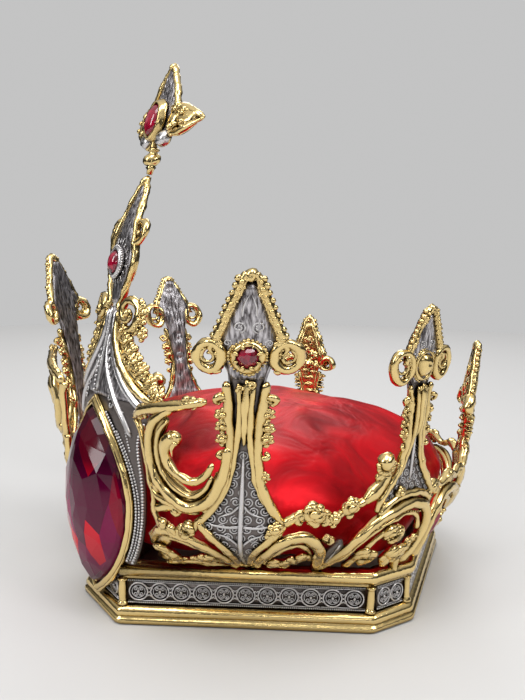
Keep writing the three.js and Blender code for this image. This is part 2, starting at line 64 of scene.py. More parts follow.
POINTS = {
    "front": dict(foot=50, tip=53.3, head=147.5, top=183.3, wide=1.0, vee=True),
    "side": dict(foot=94.5, tip=90, head=140, top=167.3, wide=0.95, vee=False),
    "back": dict(foot=141, tip=139.4, head=103, top=139.6, wide=0.95, vee=True),
}
PLATE_WIDTH = [[34.5, 1.2], [41, 2.2], [48, 3.2], [56, 6], [64, 12], [70, 16.5], [77, 12], [87, 7],
               [98, 4.6], [111, 4], [124, 5], [137, 6.2], [146, 8.2], [153, 10.6], [162, 7.8],
               [171, 4.4], [178, 1.6]]
ARCH_WIDTH = [[73, 20.5], [77, 18], [81, 15], [86, 11.5], [92, 8], [98, 6]]
LOOP_V, NECK_Z, TALLEST = 147.5, 70.0, 183.3


def circle(count):
    """Angles evenly round a circle."""
    return np.linspace(0, 2 * pi, count, endpoint=False)


# ---- guide surfaces ----
def along(keys, x):
    """Smooth value between [x, value] keys."""
    k = np.array(keys, float)
    xs, ys = k[:, 0], k[:, 1]
    x = np.clip(np.asarray(x, float), xs[0], xs[-1])
    before, after = np.maximum(np.arange(len(xs)) - 1, 0), np.minimum(np.arange(len(xs)) + 1, len(xs) - 1)
    slope = (ys[after] - ys[before]) / (xs[after] - xs[before])
    i = np.clip(np.searchsorted(xs, x, side="right") - 1, 0, len(xs) - 2)
    span = xs[i + 1] - xs[i]
    t = (x - xs[i]) / span
    return ((2 * t**3 - 3 * t**2 + 1) * ys[i] + (t**3 - 2 * t**2 + t) * span * slope[i]
            + (3 * t**2 - 2 * t**3) * ys[i + 1] + (t**3 - t**2) * span * slope[i + 1])


BASE = np.array(HALF_BASE + [[-x, y] for x, y in reversed(HALF_BASE)], float)


def base_outline(offset):
    before, after = np.roll(BASE, 1, axis=0), np.roll(BASE, -1, axis=0)
    d1 = (BASE - before) / np.linalg.norm(BASE - before, axis=1)[:, None]
    d2 = (after - BASE) / np.linalg.norm(after - BASE, axis=1)[:, None]
    n1, n2 = np.c_[d1[:, 1], -d1[:, 0]], np.c_[d2[:, 1], -d2[:, 0]]
    return BASE + (n1 + n2) * (offset / (1 + (n1 * n2).sum(1)))[:, None]


def base_radius(angle, offset):
    corners = base_outline(offset)
    edges = np.roll(corners, -1, axis=0) - corners
    normals = np.c_[edges[:, 1], -edges[:, 0]] / np.linalg.norm(edges, axis=1)[:, None]
    reach = (normals * corners).sum(1)
    facing = np.outer(np.sin(angle), normals[:, 0]) - np.outer(np.cos(angle), normals[:, 1])
    return np.where(facing > 0.01, reach / np.maximum(facing, 0.01), 1e9).min(1)


def body_radius(angle, z):
    turn = np.abs(np.degrees(np.arctan2(np.sin(angle), np.cos(angle))))
    swell = np.sin(np.clip((z - LEDGE_H) / (SHOULDER_Z - LEDGE_H), 0, 1) * pi / 2)
    base = base_radius(angle, -PANEL_INSET)
    above = np.maximum(0, (z - SHOULDER_Z) / 100)
    return base + (along(SHOULDER_PLAN, turn) - base) * swell + along(FLARE, turn) * above**1.2


def on_body(p):
    angle = p[:, 0] / WRAP_R
    radius = body_radius(angle, p[:, 1]) + p[:, 2]
    return np.c_[radius * np.sin(angle), -radius * np.cos(angle), p[:, 1]]


def on_front(p):
    turn = p[:, 0] / FRONT_BOW
    y = -along(FRONT_LINE, p[:, 1]) + p[:, 0] * turn / 2
    return np.c_[p[:, 0] + p[:, 2] * np.sin(turn), y - p[:, 2] * np.cos(turn), p[:, 1]]


def as_is(p):
    return p


def body_route(angles, out=0.8):
    """Flat coordinates of places on the body given as [angle in degrees, height]."""
    return [[angle * DEG, up, out] for angle, up in angles]


# ---- mesh building in flat coordinates: across, up, outwards ----
def spline(points, per=5, closed=False):
    """Catmull-Rom curve through the points."""
    p = np.array([list(q) + [0] * (3 - len(q)) for q in points], float)
    n = len(p)
    ends = (p[-1:], p[:2]) if closed else (2 * p[:1] - p[1:2], 2 * p[-1:] - p[-2:-1])
    q = np.vstack([ends[0], p, ends[1]])
    t = np.linspace(0, 1, per, endpoint=False)[:, None]
    out = []
    for i in range(n if closed else n - 1):
        a, b, c, d = q[i], q[i + 1], q[i + 2], q[i + 3]
        out.append(0.5 * (2 * b + (c - a) * t + (2 * a - 5 * b + 4 * c - d) * t**2
                          + (3 * b - a - 3 * c + d) * t**3))
    return np.vstack(out + ([] if closed else [p[-1:]]))


def spaced(points, pitch, closed=False):
    """Points at an even pitch along a smooth curve."""
    p = spline(points, 8, closed)
    if closed:
        p = np.vstack([p, p[:1]])
    length = np.r_[0, np.cumsum(np.linalg.norm(np.diff(p, axis=0), axis=1))]
    count = max(2, int(length[-1] / pitch) + 1)
    s = np.linspace(0, length[-1], count, endpoint=not closed)
    return np.c_[[np.interp(s, length, p[:, k]) for k in range(3)]].T


def share_keys(value, count):
    """A number, or values spread evenly along a curve."""
    if np.isscalar(value):
        return np.full(count, float(value))
    return np.interp(np.linspace(0, 1, count), np.linspace(0, 1, len(value)), value)


def sphere_template(segments, rings):
    verts, faces = [[0, 0, 1]], []
    for r in range(1, rings):
        for s in range(segments):
            a, b = pi * r / rings, 2 * pi * s / segments
            verts.append([sin(a) * cos(b), sin(a) * sin(b), cos(a)])
    verts.append([0, 0, -1])
    last = len(verts) - 1
    for s in range(segments):
        t = (s + 1) % segments
        faces.append([0, 1 + s, 1 + t])
        for r in range(rings - 2):
            a, b = 1 + r * segments, 1 + (r + 1) * segments
            faces.append([a + s, b + s, b + t, a + t])
        faces.append([last, last - segments + t, last - segments + s])
    return np.array(verts), faces


BEAD = sphere_template(8, 5)
BALL = sphere_template(16, 10)


class Sculpt:
    """Collects closed shapes in flat coordinates."""

    def __init__(self, bold=1.0):
        self.verts, self.faces, self.mats, self.count = [], [], [], 0
        self.bold = bold

    def add(self, verts, faces, mat=0):
        self.verts.append(np.asarray(verts, float))
        self.faces += [[i + self.count for i in f] for f in faces]
        self.mats += [mat] * len(faces)
        self.count += len(verts)

    def tube_mesh(self, rings, mat, closed):
        n, sides = len(rings), len(rings[0])
        verts = np.vstack(rings)
        faces = []
        for i in range(n if closed else n - 1):
            a, b = i * sides, ((i + 1) % n) * sides
            for s in range(sides):
                t = (s + 1) % sides
                faces.append([a + s, a + t, b + t, b + s])
        if not closed:
            verts = np.vstack([verts, rings[0].mean(0), rings[-1].mean(0)])
            first, last, end = len(verts) - 2, len(verts) - 1, (n - 1) * sides
            for s in range(sides):
                t = (s + 1) % sides
                faces.append([first, t, s])
                faces.append([last, end + s, end + t])
        self.add(verts, faces, mat)

    def sweep(self, points, wide, high=None, sides=8, per=5, closed=False, mat=0, round_ends=True):
        """A bar along a curve: half widths across it and out from the surface."""
        p = spline(points, per, closed)
        n = len(p)
        a = share_keys(wide, n) * self.bold
        b = share_keys(wide if high is None else high, n) * self.bold
        if round_ends and not closed:
            a, b = a.copy(), b.copy()
            for k, scale in ((0, 0.45), (-1, 0.45)):
                a[k] *= scale
                b[k] *= scale
        tangent = np.roll(p, -1, 0) - np.roll(p, 1, 0) if closed else np.gradient(p, axis=0)
        tangent /= np.maximum(np.linalg.norm(tangent, axis=1), 1e-9)[:, None]
        out = np.array([0, 0, 1.0]) - tangent * tangent[:, 2:3]
        out /= np.maximum(np.linalg.norm(out, axis=1), 1e-6)[:, None]
        side = np.cross(tangent, out)
        angles = circle(sides)
        rings = [p[i] + np.outer(np.cos(angles), side[i]) * a[i]
                 + np.outer(np.sin(angles), out[i]) * b[i] for i in range(n)]
        self.tube_mesh(rings, mat, closed)

    def route(self, angles, out, wide, high=None, **more):
        """A bar on the body, along [angle in degrees, height] places at one distance outwards."""
        self.sweep(body_route(angles, out), wide, high, **more)

    def beads(self, points, radius, template=BEAD):
        verts, faces = template
        radii = share_keys(radius, len(points))
        for centre, r in zip(points, radii):
            self.add(verts * r + centre, faces)

    def bead_row(self, points, pitch, radius, closed=False):
        self.beads(spaced(points, pitch, closed), radius)

    def sheet(self, rows, thickness, mat=0, crown=0.0, across=8, back=0.0):
        """A plate from rows [up, left edge, right edge], thicker by crown along its middle."""
        grid = []
        for up, left, right in rows:
            for k in range(across + 1):
                s = k / across
                bulge = crown * (1 - (2 * s - 1) ** 2)
                grid.append([left + (right - left) * s, up, back + thickness + bulge])
        top = np.array(grid)
        bottom = top.copy()
        bottom[:, 2] = back
        w, n = across + 1, len(rows)
        size = w * n
        faces = []
        for i in range(n - 1):
            for k in range(across):
                a = i * w + k
                faces.append([a, a + 1, a + w + 1, a + w])
                faces.append([size + a, size + a + w, size + a + w + 1, size + a + 1])
        rim = ([k for k in range(w)] + [i * w + w - 1 for i in range(1, n)]
               + [(n - 1) * w + k for k in range(w - 2, -1, -1)] + [i * w for i in range(n - 2, 0, -1)])
        for a, b in zip(rim, rim[1:] + rim[:1]):
            faces.append([a, size + a, size + b, b])
        self.add(np.vstack([top, bottom]), faces, mat)

    def hull(self, points):
        """The closed shape stretched over a set of points."""
        bm = bmesh.new()
        for q in points:
            bm.verts.new(q)
        bmesh.ops.convex_hull(bm, input=bm.verts)
        loose = [v for v in bm.verts if not v.link_faces]
        bmesh.ops.delete(bm, geom=loose, context="VERTS")
        bmesh.ops.recalc_face_normals(bm, faces=bm.faces)
        bm.verts.index_update()
        self.add([v.co[:] for v in bm.verts], [[v.index for v in f.verts] for f in bm.faces])
        bm.free()

    # -- ornaments --
    def comma(self, at, direction, length, width, turn=1.0, rise=1.0):
        """A curled cast leaf: starts at a point, leaves in a direction in degrees and curls over."""
        points, angle, p = [], radians(direction), np.array(at, float)
        p = np.r_[p, 0] if len(p) == 2 else p
        steps = 6
        for i in range(steps + 1):
            points.append(p.copy())
            angle += turn * radians(16 + 9 * i)
            p = p + np.array([cos(angle), sin(angle), 0]) * length / steps
            p[2] += rise * length / steps * cos(pi * i / steps) * 0.6
        self.sweep(points, [width * 0.55, width, width * 0.8, width * 0.5],
                   [width * 0.6, width * 0.9, width * 0.9, width * 0.6], sides=7, per=3)
        self.beads([points[-1]], width * 0.72)

    def leaf_lump(self, at, side, size):
        """A small cast leaf bunched over itself, with its lobes turned outwards."""
        for across, up, out, share in ((0, 0, 0, 1.0), (0.75, 0.55, 0.25, 0.62),
                                       (0.95, -0.25, 0.15, 0.6), (0.15, 0.95, 0.2, 0.6),
                                       (0.3, -0.9, 0.1, 0.55), (0.2, 0.15, 0.75, 0.55)):
            centre = [at[0] + side * across * size, at[1] + up * size, at[2] + out * size]
            self.add(BALL[0] * [share * size, share * size * 0.85, share * size * 0.8] + centre, BALL[1])
        for lean in (-35, 15, 60):
            self.comma([at[0], at[1], at[2] + 0.5 * size], facing(lean, side), size * 1.5, size * 0.24,
                       turn=side * 0.9, rise=0.1)

    def foliage(self, at, size, count=6, lean=90.0, lift=0.6):
        """A cast cluster of curled leaves round a point, in two tiers over a rounded body."""
        self.add(BALL[0] * [0.36 * size, 0.36 * size, 0.16 * size] + [at[0], at[1], lift - 0.06 * size],
                 BALL[1])
        for tier, share_of_size, extra in ((0, 1.0, 0), (1, 0.62, -1)):
            leaves = count + extra
            spread = 150 - 40 * tier
            for i in range(leaves):
                share = i / max(leaves - 1, 1) - 0.5
                angle = lean + spread * share + rng.uniform(-8, 8)
                turn = (-1 if share > 0 else 1) * rng.uniform(0.7, 1.2)
                start = [at[0] + rng.uniform(-0.1, 0.1) * size, at[1] + rng.uniform(-0.1, 0.1) * size,
                         lift + 0.12 * size * tier]
                self.comma(start, angle, size * share_of_size * rng.uniform(0.85, 1.1),
                           size * rng.uniform(0.17, 0.23), turn=-turn, rise=rng.uniform(0.3, 1.0))
        self.beads([[at[0], at[1], lift + size * 0.2]], size * 0.2)

    def clusters(self, places, count=6, lift=0.2):
        """Leaf clusters on the body, from rows of angle in degrees, height, size and lean."""
        for angle, up, size, lean in places:
            self.foliage([angle * DEG, up], size, count, lean, lift)

    def knob(self, centre, outs, a, b, shoulder=0.55, foot=0.7, sides=14, mat=0):
        """A rounded knob, from the heights of its profile between its top and its foot."""
        profile = [[0, share, out] for share, out in zip((0, shoulder, 1, foot, 0), outs)]
        self.turned(centre, profile, a, b, sides=sides, mat=mat)

    def spiral(self, centre, r0, r1, turns, start=0.0, wire=0.35, out=0.9, flip=1):
        steps = max(8, int(12 * turns))
        points = []
        for i in range(steps + 1):
            s = i / steps
            angle = radians(start) + flip * 2 * pi * turns * s
            r = r0 + (r1 - r0) * s
            points.append([centre[0] + r * cos(angle), centre[1] + r * sin(angle), out])
        self.sweep(points, wire, sides=5, per=1)

    def ring(self, centre, a, b, radius, high=None, out=0.0, sides=8, count=20):
        points = [[centre[0] + a * cos(t), centre[1] + b * sin(t), out] for t in circle(count)]
        self.sweep(points, radius, high, sides=sides, per=1, closed=True)

    def turned(self, centre, profile, a, b, sides=24, pointed=False, mat=0):
        """A body of revolution in flat coordinates: profile of [growth, share, out]; closed or on axis."""
        rings = []
        for grow, share, out in profile:
            high, wide = b + grow * (1.6 if pointed else 1), a + grow
            ring = []
            for t in circle(sides):
                v = high * cos(t)
                u = wide * sin(t)
                if pointed:
                    u = copysign(almond(wide, high, v), sin(t)) if abs(sin(t)) > 1e-6 else 0
                ring.append([centre[0] - u * share, centre[1] + v * share, out])
            rings.append(np.array(ring))
        self.tube_mesh(rings, mat, closed=profile[0][1] != 0)

    def mirrored(self):
        """Adds the same shapes swapped left to right."""
        verts = np.vstack(self.verts) * [-1, 1, 1]
        self.verts.append(verts)
        self.faces += [[i + self.count for i in reversed(f)] for f in self.faces]
        self.mats += self.mats
        self.count *= 2
        return self


def width_of(table):
    """Half width at a height, from [height, half width] keys."""
    return lambda z: float(along(table, z))


def facing(lean, side):
    """A direction in degrees, swapped left to right on the left side."""
    return lean if side > 0 else 180 - lean


def oval(centre, a, b, out, count):
    """Places round an oval, from its top."""
    return [[centre[0] + a * sin(t), centre[1] + b * cos(t), out] for t in circle(count)]


def almond(a, b, height):
    radius = (a * a + b * b) / (2 * a)
    return sqrt(max(radius * radius - height * height, 0)) - (radius - a)


def cast_skin(mesh, amount):
    """Moves the surface in and out a little, the way hand-finished castings are uneven."""
    waves = np.random.default_rng(11)
    count = len(mesh.vertices)
    flat, normals = np.empty(count * 3), np.empty(count * 3)
    mesh.vertices.foreach_get("co", flat)
    mesh.vertices.foreach_get("normal", normals)
    at = flat.reshape(-1, 3)
    height = np.zeros(count)
    for wavelength in (9, 7, 5.5, 4.5, 3.6, 3.0, 2.5, 2.2):
        for _ in range(2):
            direction = waves.normal(size=3)
            direction /= np.linalg.norm(direction)
            height += np.sin(at @ direction * 2 * pi / (wavelength * MM)
                             + waves.uniform(0, 6)) * wavelength
    height *= amount * MM / np.abs(height).max()
    moved = at + normals.reshape(-1, 3) * height[:, None]
    moved[:, 2] = np.maximum(moved[:, 2], 0)
    mesh.vertices.foreach_set("co", moved.ravel())
    mesh.update()


def make(name, sculpt, place, materials, slot, nodes, smooth=True, flip=False):
    """Turns a sculpt into an object that stands for CAD nodes."""
    verts = place(np.vstack(sculpt.verts))
    verts = np.c_[verts[:, 0] * (-1 if flip else 1), verts[:, 1] + SHIFT, verts[:, 2]] * MM
    faces = [list(reversed(f)) for f in sculpt.faces] if flip else sculpt.faces
    mesh = bpy.data.meshes.new(name)
    mesh.from_pydata(verts.tolist(), [], faces)
    mesh.polygons.foreach_set("material_index", sculpt.mats)
    mesh.polygons.foreach_set("use_smooth", [smooth] * len(faces))
    for m in materials:
        mesh.materials.append(m)
    bm = bmesh.new()
    bm.from_mesh(mesh)
    bmesh.ops.recalc_face_normals(bm, faces=bm.faces)
    bm.to_mesh(mesh)
    bm.free()
    if slot == "gold":
        cast_skin(mesh, CAST_DEPTH)
    piece = bpy.data.objects.new(name, mesh)
    bpy.context.scene.collection.objects.link(piece)
    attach(piece, "root")
    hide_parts(*nodes)
    return piece


def make_pair(node, sculpt, place, materials, slot, smooth=True):
    for side, flip in (("right", False), ("left", True)):
        make(f"{node}_{side}_detail", sculpt, place, materials, slot, [f"{node}_{side}"], smooth, flip)


# ---- materials ----
def principled(name, **values):
    m = bpy.data.materials.new(name)
    m.use_nodes = True
    shader = m.node_tree.nodes["Principled BSDF"]
    for key, value in values.items():
        shader.inputs[key.replace("_", " ")].default_value = value
    return m, m.node_tree, shader


def node(tree, kind, **values):
    n = tree.nodes.new(kind)
    for key, value in values.items():
        if key in n.inputs:
            n.inputs[key].default_value = value
        else:
            setattr(n, key, value)
    return n


def link(source, output, target, socket):
    source.id_data.links.new(source.outputs[output], target.inputs[socket])


def ramp_of(tree, *stops):
    """A colour ramp with (position, colour) stops."""
    ramp = node(tree, "ShaderNodeValToRGB")
    elements = ramp.color_ramp.elements
    while len(elements) < len(stops):
        elements.new(0.5)
    for element, (position, tone) in zip(elements, stops):
        element.position, element.color = position, (*tone, 1)
    return ramp


def grey(level):
    return (level, level, level)


def patina_and_painted_shade(name, bright, dark, roughness, bump_scale, bump_strength, recess):
    """Polished metal darkened in its recesses by ambient occlusion: painted shade on the gold; on the
    silver partly painted shade, partly the real oxide in its hollows.
    """
    m, tree, shader = principled(name, Metallic=1.0, Roughness=roughness)
    coords = node(tree, "ShaderNodeTexCoord")
    noise = node(tree, "ShaderNodeTexNoise", Scale=bump_scale, Detail=4.0)
    bump = node(tree, "ShaderNodeBump", Strength=bump_strength, Distance=0.0004)
    cloud = node(tree, "ShaderNodeTexNoise", Scale=60.0, Detail=3.0)
    tone = node(tree, "ShaderNodeMix", data_type="RGBA")
    tone.inputs["A"].default_value = (*[c * 0.88 for c in bright], 1)
    tone.inputs["B"].default_value = (*bright, 1)
    # painted shade: the occlusion mask mixes in the dark colour where recesses lie in shade
    hollows = node(tree, "ShaderNodeAmbientOcclusion", samples=4, Distance=recess)
    open_share = node(tree, "ShaderNodeMapRange")
    open_share.inputs["From Min"].default_value, open_share.inputs["From Max"].default_value = 0.35, 0.95
    mix = node(tree, "ShaderNodeMix", data_type="RGBA")
    mix.inputs["A"].default_value = (*dark, 1)
    rough = node(tree, "ShaderNodeMapRange")
    rough.inputs["To Min"].default_value = roughness * 0.75
    rough.inputs["To Max"].default_value = roughness * 1.35
    link(coords, "Object", noise, "Vector")
    link(noise, "Fac", bump, "Height")
    link(bump, "Normal", shader, "Normal")
    link(coords, "Object", cloud, "Vector")
    link(cloud, "Fac", tone, "Factor")
    link(hollows, "AO", open_share, "Value")
    link(open_share, "Result", mix, "Factor")
    link(tone, "Result", mix, "B")
    link(mix, "Result", shader, "Base Color")
    link(noise, "Fac", rough, "Value")
    link(rough, "Result", shader, "Roughness")
    return m


def engraved_silver():
    """Oxidised silver scratched with fine engraving lines."""
    m, tree, shader = principled("engraved_silver", Metallic=1.0, Roughness=0.36)
    coords = node(tree, "ShaderNodeTexCoord")
    mapping = node(tree, "ShaderNodeMapping", Scale=(3.0, 3.0, 0.5))
    lines = node(tree, "ShaderNodeTexNoise", Scale=260.0, Detail=6.0)
    bump = node(tree, "ShaderNodeBump", Strength=0.9, Distance=0.0006)
    ramp = ramp_of(tree, (0.38, (0.09, 0.08, 0.082)), (0.64, (0.66, 0.63, 0.65)))
    link(coords, "Object", mapping, "Vector")
    link(mapping, "Vector", lines, "Vector")
    link(lines, "Fac", bump, "Height")
    link(bump, "Normal", shader, "Normal")
    link(lines, "Fac", ramp, "Fac")
    link(ramp, "Color", shader, "Base Color")
    return m


def ruby_material():
    """A stone with painted reflections: patches of different reds in its colour stand for the light its
    inner facets throw back.
    """
    m, tree, shader = principled("ruby", Roughness=0.03, IOR=1.76, Transmission_Weight=0.3)
    coords = node(tree, "ShaderNodeTexCoord")
    cells = node(tree, "ShaderNodeTexVoronoi", Scale=320.0)
    pick = node(tree, "ShaderNodeSeparateColor")
    # painted reflections: each cell gets a red between near black and bright
    ramp = ramp_of(tree, (0.0, (0.16, 0.0, 0.015)), (1.0, (0.60, 0.006, 0.05)))
    link(coords, "Object", cells, "Vector")
    link(cells, "Color", pick, "Color")
    link(pick, "Red", ramp, "Fac")
    link(ramp, "Color", shader, "Base Color")
    return m


def deep_ruby_material():
    """The great stone, its inner reflections painted into its colour: painted shade nearly black at its
    ends, with painted reflections of magenta and red in facets between.
    """
    m, tree, shader = principled("deep_ruby", Roughness=0.04, IOR=1.6, Specular_IOR_Level=0.28)
    coords = node(tree, "ShaderNodeTexCoord")
    mapping = node(tree, "ShaderNodeMapping", Scale=(1.0, 1.0, 0.4), Rotation=(0.0, 0.35, 0.0))
    cells = node(tree, "ShaderNodeTexVoronoi", Scale=75.0)
    pick = node(tree, "ShaderNodeSeparateColor")
    # painted reflections: cells of magenta and red for the light the inner facets throw back
    reds = ramp_of(tree, (0.0, (0.02, 0.0, 0.006)), (0.4, (0.26, 0.0, 0.07)), (0.6, (0.09, 0.0, 0.02)),
                   (1.0, (0.75, 0.005, 0.02)))
    split = node(tree, "ShaderNodeSeparateXYZ")
    height = node(tree, "ShaderNodeMapRange")
    height.inputs["From Min"].default_value = (GEM_Z - GEM_B) * MM
    height.inputs["From Max"].default_value = (GEM_Z + GEM_B) * MM
    # painted light and shade by height: bright across the lower middle, mixed towards near black at the top
    # and the bottom
    painted_light_by_height = ramp_of(tree, (0.0, grey(0.12)), (0.22, grey(0.75)), (0.42, grey(1.0)), (0.58, grey(0.8)),
                    (0.74, grey(0.1)), (1.0, grey(0.06)))
    mix = node(tree, "ShaderNodeMix", data_type="RGBA")
    mix.inputs["A"].default_value = (0.018, 0.0, 0.006, 1)
    link(coords, "Object", mapping, "Vector")
    link(mapping, "Vector", cells, "Vector")
    link(cells, "Color", pick, "Color")
    link(pick, "Red", reds, "Fac")
    link(coords, "Object", split, "Vector")
    link(split, "Z", height, "Value")
    link(height, "Result", painted_light_by_height, "Fac")
    link(painted_light_by_height, "Color", mix, "Factor")
    link(reds, "Color", mix, "B")
    link(mix, "Result", shader, "Base Color")
    return m


def satin_material():
    m, tree, shader = principled("crimson_satin", Roughness=0.36, Metallic=0.4, Specular_IOR_Level=0.12)
    coords = node(tree, "ShaderNodeTexCoord")
    weave = node(tree, "ShaderNodeTexWave", Scale=900.0, Distortion=0.6)
    cloud = node(tree, "ShaderNodeTexNoise", Scale=34.0, Detail=3.0, Distortion=0.6)
    bump = node(tree, "ShaderNodeBump", Strength=0.18, Distance=0.0002)
    soft = node(tree, "ShaderNodeBump", Strength=0.5, Distance=0.006)
    # painted light and shade: the noise that raises the folds also colours them bright red on top and dark
    # crimson in the hollows
    ramp = ramp_of(tree, (0.3, (0.20, 0.001, 0.004)), (0.75, (0.80, 0.006, 0.014)))
    link(coords, "Object", weave, "Vector")
    link(coords, "Object", cloud, "Vector")
    link(weave, "Fac", bump, "Height")
    link(cloud, "Fac", soft, "Height")
    link(bump, "Normal", soft, "Normal")
    link(soft, "Normal", shader, "Normal")
    link(cloud, "Fac", ramp, "Fac")
    link(ramp, "Color", shader, "Base Color")
    return m


def leather_material():
    m, tree, shader = principled("sweat_band_leather", Roughness=0.6)
    coords = node(tree, "ShaderNodeTexCoord")
    grain = node(tree, "ShaderNodeTexVoronoi", Scale=700.0)
    bump = node(tree, "ShaderNodeBump", Strength=0.4, Distance=0.0003)
    ramp = ramp_of(tree, (0.0, (0.14, 0.06, 0.035)), (1.0, (0.26, 0.13, 0.075)))
    link(coords, "Object", grain, "Vector")
    link(grain, "Distance", bump, "Height")
    link(bump, "Normal", shader, "Normal")
    link(grain, "Distance", ramp, "Fac")
    link(ramp, "Color", shader, "Base Color")
    return m


# the dark colour of each metal is painted shade for its recesses; on the silver it also stands for oxide
GOLD = patina_and_painted_shade("polished_gold", (0.90, 0.68, 0.30), (0.13, 0.075, 0.012), 0.16, 260, 0.6, 0.0045)
SILVER = patina_and_painted_shade("bright_silver", (0.72, 0.70, 0.70), (0.09, 0.08, 0.076), 0.28, 500, 0.3, 0.0016)
OXIDE = patina_and_painted_shade("oxidised_silver", (0.19, 0.165, 0.155), (0.035, 0.03, 0.028), 0.4, 900, 0.6, 0.0016)
ENGRAVED = engraved_silver()
RUBY = ruby_material()
DEEP_RUBY = deep_ruby_material()
SATIN = satin_material()
LEATHER = leather_material()


# ---- base ----
def ring_points(offset, height):
    """Outline of the base at an offset, with its corners eased, as closed points."""
    corners = base_outline(offset)
    points = []
    for i, c in enumerate(corners):
        before, after = corners[i - 1] - c, corners[(i + 1) % len(corners)] - c
        before, after = before / np.linalg.norm(before), after / np.linalg.norm(after)
        for move in (before * CORNER, (before + after) * CORNER * 0.22, after * CORNER):
            points.append([*(c + move), height])
    return np.array(points)


def moulding(sculpt, profile, whole=True):
    """Runs a closed profile round the base; a part run stops short of the front side."""
    layers = [ring_points(o, h) for o, h in profile]
    rings = [np.array([layer[k] for layer in layers]) for k in range(len(layers[0]))]
    sculpt.tube_mesh(rings if whole else rings[2:22], 0, closed=whole)


def build_base():
    rim = Sculpt()
    moulding(rim, [[-6.5, 0], [-0.7, 0], [0, 0.7], [0, 2.4], [-0.5, 3.2], [-1.7, 3.7], [-1.7, 4.1],
                   [-1.0, 4.7], [-0.8, 6.2], [-1.2, 7.6], [-2.3, 8.8], [-3.6, 9.4], [-6.5, 9.5]])
    posts = base_outline(-PANEL_INSET + 0.4)
    for x, y in posts:
        inward = np.array([x, y]) / hypot(x, y) * 1.4
        cx, cy = x - inward[0], y - inward[1]
        profile = [[8.6, 1.6], [9.6, 2.9], [10.6, 2.9], [11.2, 2.1], [12, 2.0], [16.5, 2.3], [21, 2.0],
                   [21.8, 2.1], [22.4, 2.8], [23.3, 2.8], [23.4, 1.5]]
        rings = [np.array([[cx + r * cos(t), cy + r * sin(t), z] for t in circle(14)])
                 for z, r in profile]
        rim.tube_mesh(rings, 0, closed=False)
    make("bottom_rim_detail", rim, as_is, [GOLD], "gold", ["bottom_rim"])

    ledge = Sculpt()
    moulding(ledge, [[-7, BAND_H], [-3.4, BAND_H], [-2.7, 24.0], [-3.0, 24.9], [-1.9, 25.3],
                     [-0.8, 26.4], [-0.3, 27.9], [-0.5, 29.6], [-1.3, 31.0], [-2.6, 31.8], [-3.4, 31.7],
                     [-4.2, 32.2], [-7, 32.2]], whole=False)
    make("ledge_rim_detail", ledge, as_is, [GOLD], "gold", ["ledge_rim"])


def panel_face(a, b):
    """Flat coordinates along one side of the base."""
    edge = (b - a) / np.linalg.norm(b - a)
    outward = np.array([edge[1], -edge[0]])

    def place(p):
        flat = a + np.outer(p[:, 0], edge) + np.outer(p[:, 2], outward)
        return np.c_[flat, p[:, 1]]
    return place


PANEL_NAMES = ["front_right", "right", "back_right", "back", "back_left", "left", "front_left", "front"]


def build_panels():
    outer = base_outline(-PANEL_INSET)
    low, high, margin = RIM_H + 0.4, BAND_H - 0.4, 3.4
    middle = (low + high) / 2
    for i, name in enumerate(PANEL_NAMES):
        a, b = outer[i], outer[(i + 1) % len(outer)]
        length = np.linalg.norm(b - a)
        s = Sculpt()
        s.sheet([[v, margin, length - margin] for v in (low, middle, high)], 1.6, across=2, back=-2.0,
                mat=1)
        for v in (low + 0.7, high - 0.7):
            s.bead_row([[margin + 0.4, v, 0], [length / 2, v, 0], [length - margin - 0.4, v, 0]], 1.05,
                       0.5)
            inner = v + (0.95 if v < middle else -0.95)
            s.sweep([[margin, inner, 0], [length / 2, inner, 0], [length - margin, inner, 0]], 0.28,
                    sides=5)
        count = max(1, round((length - 2 * margin) / 11.4))
        pitch = (length - 2 * margin) / count
        for k in range(count):
            u = margin + pitch * (k + 0.5)
            r = min(4.7, pitch / 2 - 0.3)
            s.ring([u, middle], r, 4.6, 0.42, 0.5, out=0.1, sides=6, count=22)
            s.ring([u, middle], r * 0.72, 4.6 * 0.72, 0.24, out=0.05, sides=5, count=18)
            for turn in range(4):
                t = radians(90 * turn + 45)
                c = [u + r * 0.42 * cos(t), middle + 2.0 * sin(t)]
                s.spiral(c, 1.25, 0.25, 1.6, start=degrees(t) + 180, wire=0.24, out=0.15,
                         flip=1 if turn % 2 else -1)
            s.beads([[u, middle, 0.3]], 0.75)
            if k:
                edge = margin + pitch * k
                for sign in (1, -1):
                    for turn in (1, -1):
                        s.comma([edge, middle + sign * 1.2, 0.1], 90 * sign, 3.2, 0.34, turn, 0.1)
                s.beads([[edge, middle, 0.2]], 0.6)
        make(f"band_panel_{name}_detail", s, panel_face(a, b), [SILVER, OXIDE], "silver",
             [f"band_panel_{name}"])


# ---- points ----
class Plan:
    """One point: its stretch of heights, its half width and its place on the body."""

    def __init__(self, foot, tip, head, top, wide, vee):
        self.foot, self.tip, self.head, self.top, self.wide, self.vee = foot, tip, head, top, wide, vee
        self.widths = PLATE_WIDTH if vee else ARCH_WIDTH + PLATE_WIDTH[9:]
        self.bottom = self.widths[0][0]

    def stretch(self, z):
        z = np.asarray(z, float)
        shaft = NECK_Z + (z - NECK_Z) * (self.head - NECK_Z) / (LOOP_V - NECK_Z)
        tip = self.head + (z - LOOP_V) * (self.top - self.head) / (TALLEST - LOOP_V)
        return np.where(z <= NECK_Z, z, np.where(z <= LOOP_V, shaft, tip))

    def half(self, z):
        return float(along(self.widths, z))

    def place(self, p):
        up = self.stretch(p[:, 1])
        rise = (up - LEDGE_H) / (self.top - LEDGE_H)
        middle = (self.foot + (self.tip - self.foot) * rise) * DEG
        return on_body(np.c_[middle + p[:, 0] * self.wide, up, p[:, 2]])


